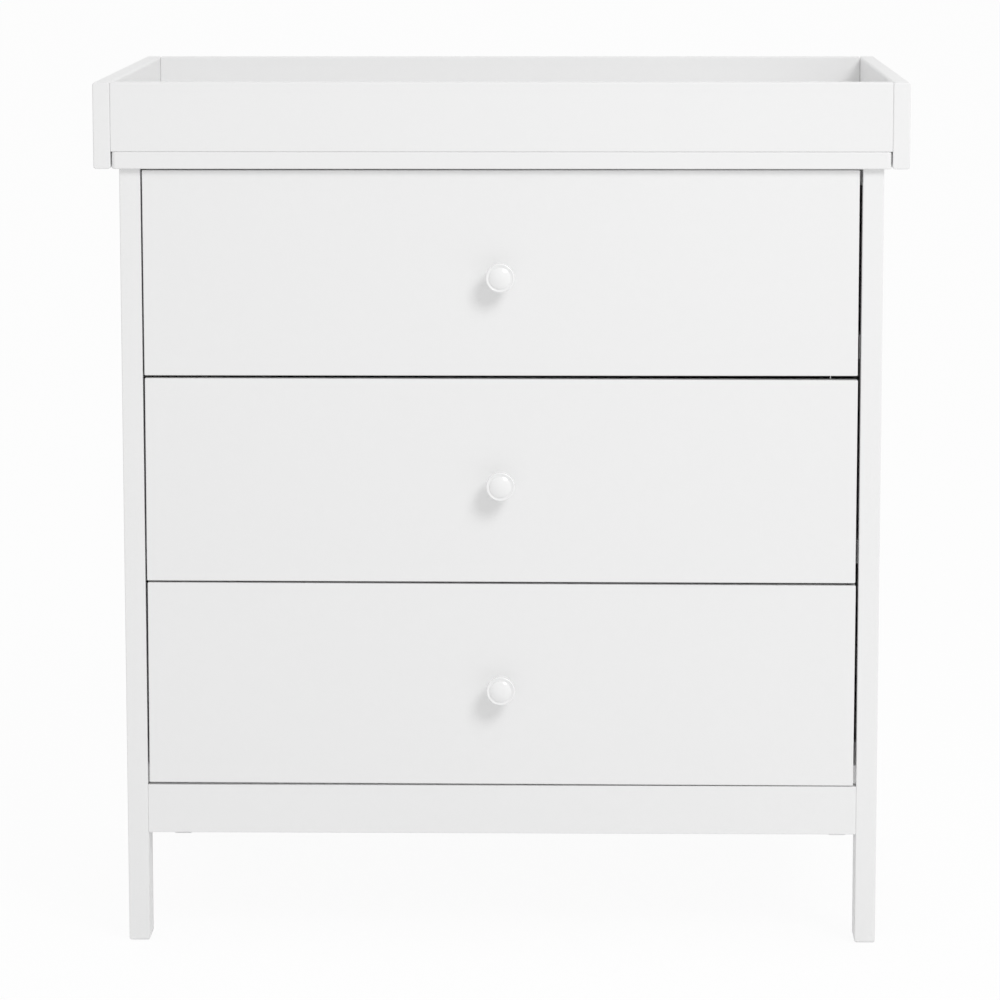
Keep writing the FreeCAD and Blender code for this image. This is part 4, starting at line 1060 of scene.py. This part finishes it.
FLOOR_SPAN = 160.0
FLOOR_STEPS = 8
WHITE = (1.0, 1.0, 1.0)
KEY_PLACE = (2.0, -3.35, 3.4)
KEY_AIM = (0.0, -0.2, 0.5)
CAMERA_PLACE = (0.0856, -4.803, 1.1602)
CAMERA_PITCH = math.radians(8.5413)
CAMERA_YAW = math.radians(-1.0984)
CAMERA_ROLL = math.radians(-0.0484)
CAMERA_LENS = 156.67     # millimetres, as is the sensor's width
CAMERA_SENSOR = 36.0
CAMERA_REACH = 400.0


def seen_directly(net):
    """1 for what the camera, a reflection or glass shows."""
    path = net.tree.nodes.new("ShaderNodeLightPath")
    seen = Value(net, path.outputs["Is Camera Ray"]) + Value(net, path.outputs["Is Glossy Ray"])
    seen = seen + Value(net, path.outputs["Is Transmission Ray"])
    return net.node("ShaderNodeMath", {"operation": "MINIMUM"}, {0: seen, 1: 1.0})


def studio_floor(studio):
    """A pale floor that shows white, and keeps a share of the shadow."""
    shape = bmesh.new()
    bmesh.ops.create_grid(
        shape, x_segments=FLOOR_STEPS, y_segments=FLOOR_STEPS, size=FLOOR_SPAN / 2
    )
    floor = to_piece("studio_floor", shape)
    material, net, shader, place = new_material("pale_floor", studio.floor, {
        "Roughness": 0.9, "Specular IOR Level": 0.1,
    })
    dust = net.noise(place, scale=5.0, detail=3.0)
    tint(net, shader, dust, studio.floor, 0.99, 1.01)
    white = net.node("ShaderNodeEmission", None, {"Color": WHITE, "Strength": 1.0})
    share_white = seen_directly(net) * (1 - studio.floor_shadow)
    mixed = net.node("ShaderNodeMixShader", None, {
        0: share_white, 1: Value(net, shader.outputs[0]), 2: white,
    })
    net.feed(material.node_tree.nodes["Material Output"].inputs[0], mixed)
    floor.data.materials.append(material)


def studio_world(studio):
    """Even light from all round, seen as plain white."""
    world = bpy.data.worlds.new("studio")
    world.use_nodes = True
    net = Net(world.node_tree)
    world.node_tree.nodes.remove(world.node_tree.nodes["Background"])
    even = net.node("ShaderNodeBackground", None, {"Color": WHITE, "Strength": studio.sky})
    white = net.node("ShaderNodeBackground", None, {"Color": WHITE, "Strength": 1.0})
    mixed = net.node("ShaderNodeMixShader", None, {0: seen_directly(net), 1: even, 2: white})
    net.feed(world.node_tree.nodes["World Output"].inputs[0], mixed)
    bpy.context.scene.world = world


def softbox(name, power, size, place, target):
    """A square soft light, aimed at a target."""
    lamp = bpy.data.lights.new(name, "AREA")
    lamp.shape = "SQUARE"
    lamp.size = size
    lamp.energy = power
    light = bpy.data.objects.new(name, lamp)
    light.matrix_world = (
        Matrix.Translation(place)
        @ (Vector(target) - Vector(place)).to_track_quat("-Z", "Y").to_matrix().to_4x4()
    )
    bpy.context.scene.collection.objects.link(light)


def studio_camera():
    """The camera, where the fit to the edges of the picture puts it."""
    ahead = Vector((
        math.sin(CAMERA_YAW) * math.cos(CAMERA_PITCH),
        math.cos(CAMERA_YAW) * math.cos(CAMERA_PITCH),
        -math.sin(CAMERA_PITCH),
    ))
    level = Vector((math.cos(CAMERA_YAW), -math.sin(CAMERA_YAW), 0.0))
    above = level.cross(ahead)
    right = level * math.cos(CAMERA_ROLL) + above * math.sin(CAMERA_ROLL)
    up = above * math.cos(CAMERA_ROLL) - level * math.sin(CAMERA_ROLL)
    lens = bpy.data.cameras.new("camera")
    lens.sensor_width = CAMERA_SENSOR
    lens.lens = CAMERA_LENS
    lens.clip_end = CAMERA_REACH
    camera = bpy.data.objects.new("camera", lens)
    turn = Matrix((right, up, -ahead)).transposed().to_4x4()
    camera.matrix_world = Matrix.Translation(CAMERA_PLACE) @ turn
    bpy.context.scene.collection.objects.link(camera)
    bpy.context.scene.camera = camera


class DRESSER_OT_studio(bpy.types.Operator):
    """Sets up the pale floor, the soft light and the camera"""
    bl_idname = "dresser.studio"
    bl_label = "Studio"

    def execute(self, context):
        studio = context.scene.dresser_studio
        studio_floor(studio)
        studio_world(studio)
        softbox("key", studio.key, studio.key_size, KEY_PLACE, KEY_AIM)
        studio_camera()
        context.scene.view_settings.view_transform = "Standard"
        return {"FINISHED"}


class DRESSER_PT_panel(bpy.types.Panel):
    """The dresser's groups of pieces, and their sizes and colours"""
    bl_idname = "DRESSER_PT_panel"
    bl_label = "Changing dresser"
    bl_space_type = "VIEW_3D"
    bl_region_type = "UI"
    bl_category = "Dresser"

    def draw(self, context):
        layout = self.layout
        for step in STEPS:
            layout.operator(step.bl_idname)
        for name in SETTINGS:
            group = getattr(context.scene, name)
            area = layout.box()
            for key in group.bl_rna.properties.keys():
                if key not in ("name", "rna_type"):
                    area.prop(group, key)


SETTINGS = {
    "dresser_finish": DresserFinish,
    "dresser_boards": DresserBoards,
    "dresser_knob": DresserKnob,
    "dresser_studio": DresserStudio,
}
STEPS = (
    DRESSER_OT_studio,
    DRESSER_OT_carcass,
    DRESSER_OT_tray,
    DRESSER_OT_drawers,
    DRESSER_OT_knobs,
    DRESSER_OT_runners,
    DRESSER_OT_fixings,
    DRESSER_OT_glides,
)


def register():
    for group in SETTINGS.values():
        bpy.utils.register_class(group)
    for step in STEPS + (DRESSER_PT_panel,):
        bpy.utils.register_class(step)
    for name, group in SETTINGS.items():
        setattr(bpy.types.Scene, name, bpy.props.PointerProperty(type=group))


def unregister():
    for name in SETTINGS:
        delattr(bpy.types.Scene, name)
    for step in reversed(STEPS + (DRESSER_PT_panel,)):
        bpy.utils.unregister_class(step)
    for group in SETTINGS.values():
        bpy.utils.unregister_class(group)


def main():
    register()
    bpy.ops.dresser.studio()
    bpy.ops.dresser.carcass()
    bpy.ops.dresser.tray()
    bpy.ops.dresser.drawers()
    bpy.ops.dresser.knobs()
    bpy.ops.dresser.runners()
    bpy.ops.dresser.fixings()
    bpy.ops.dresser.glides()


if __name__ == "__main__":
    main()
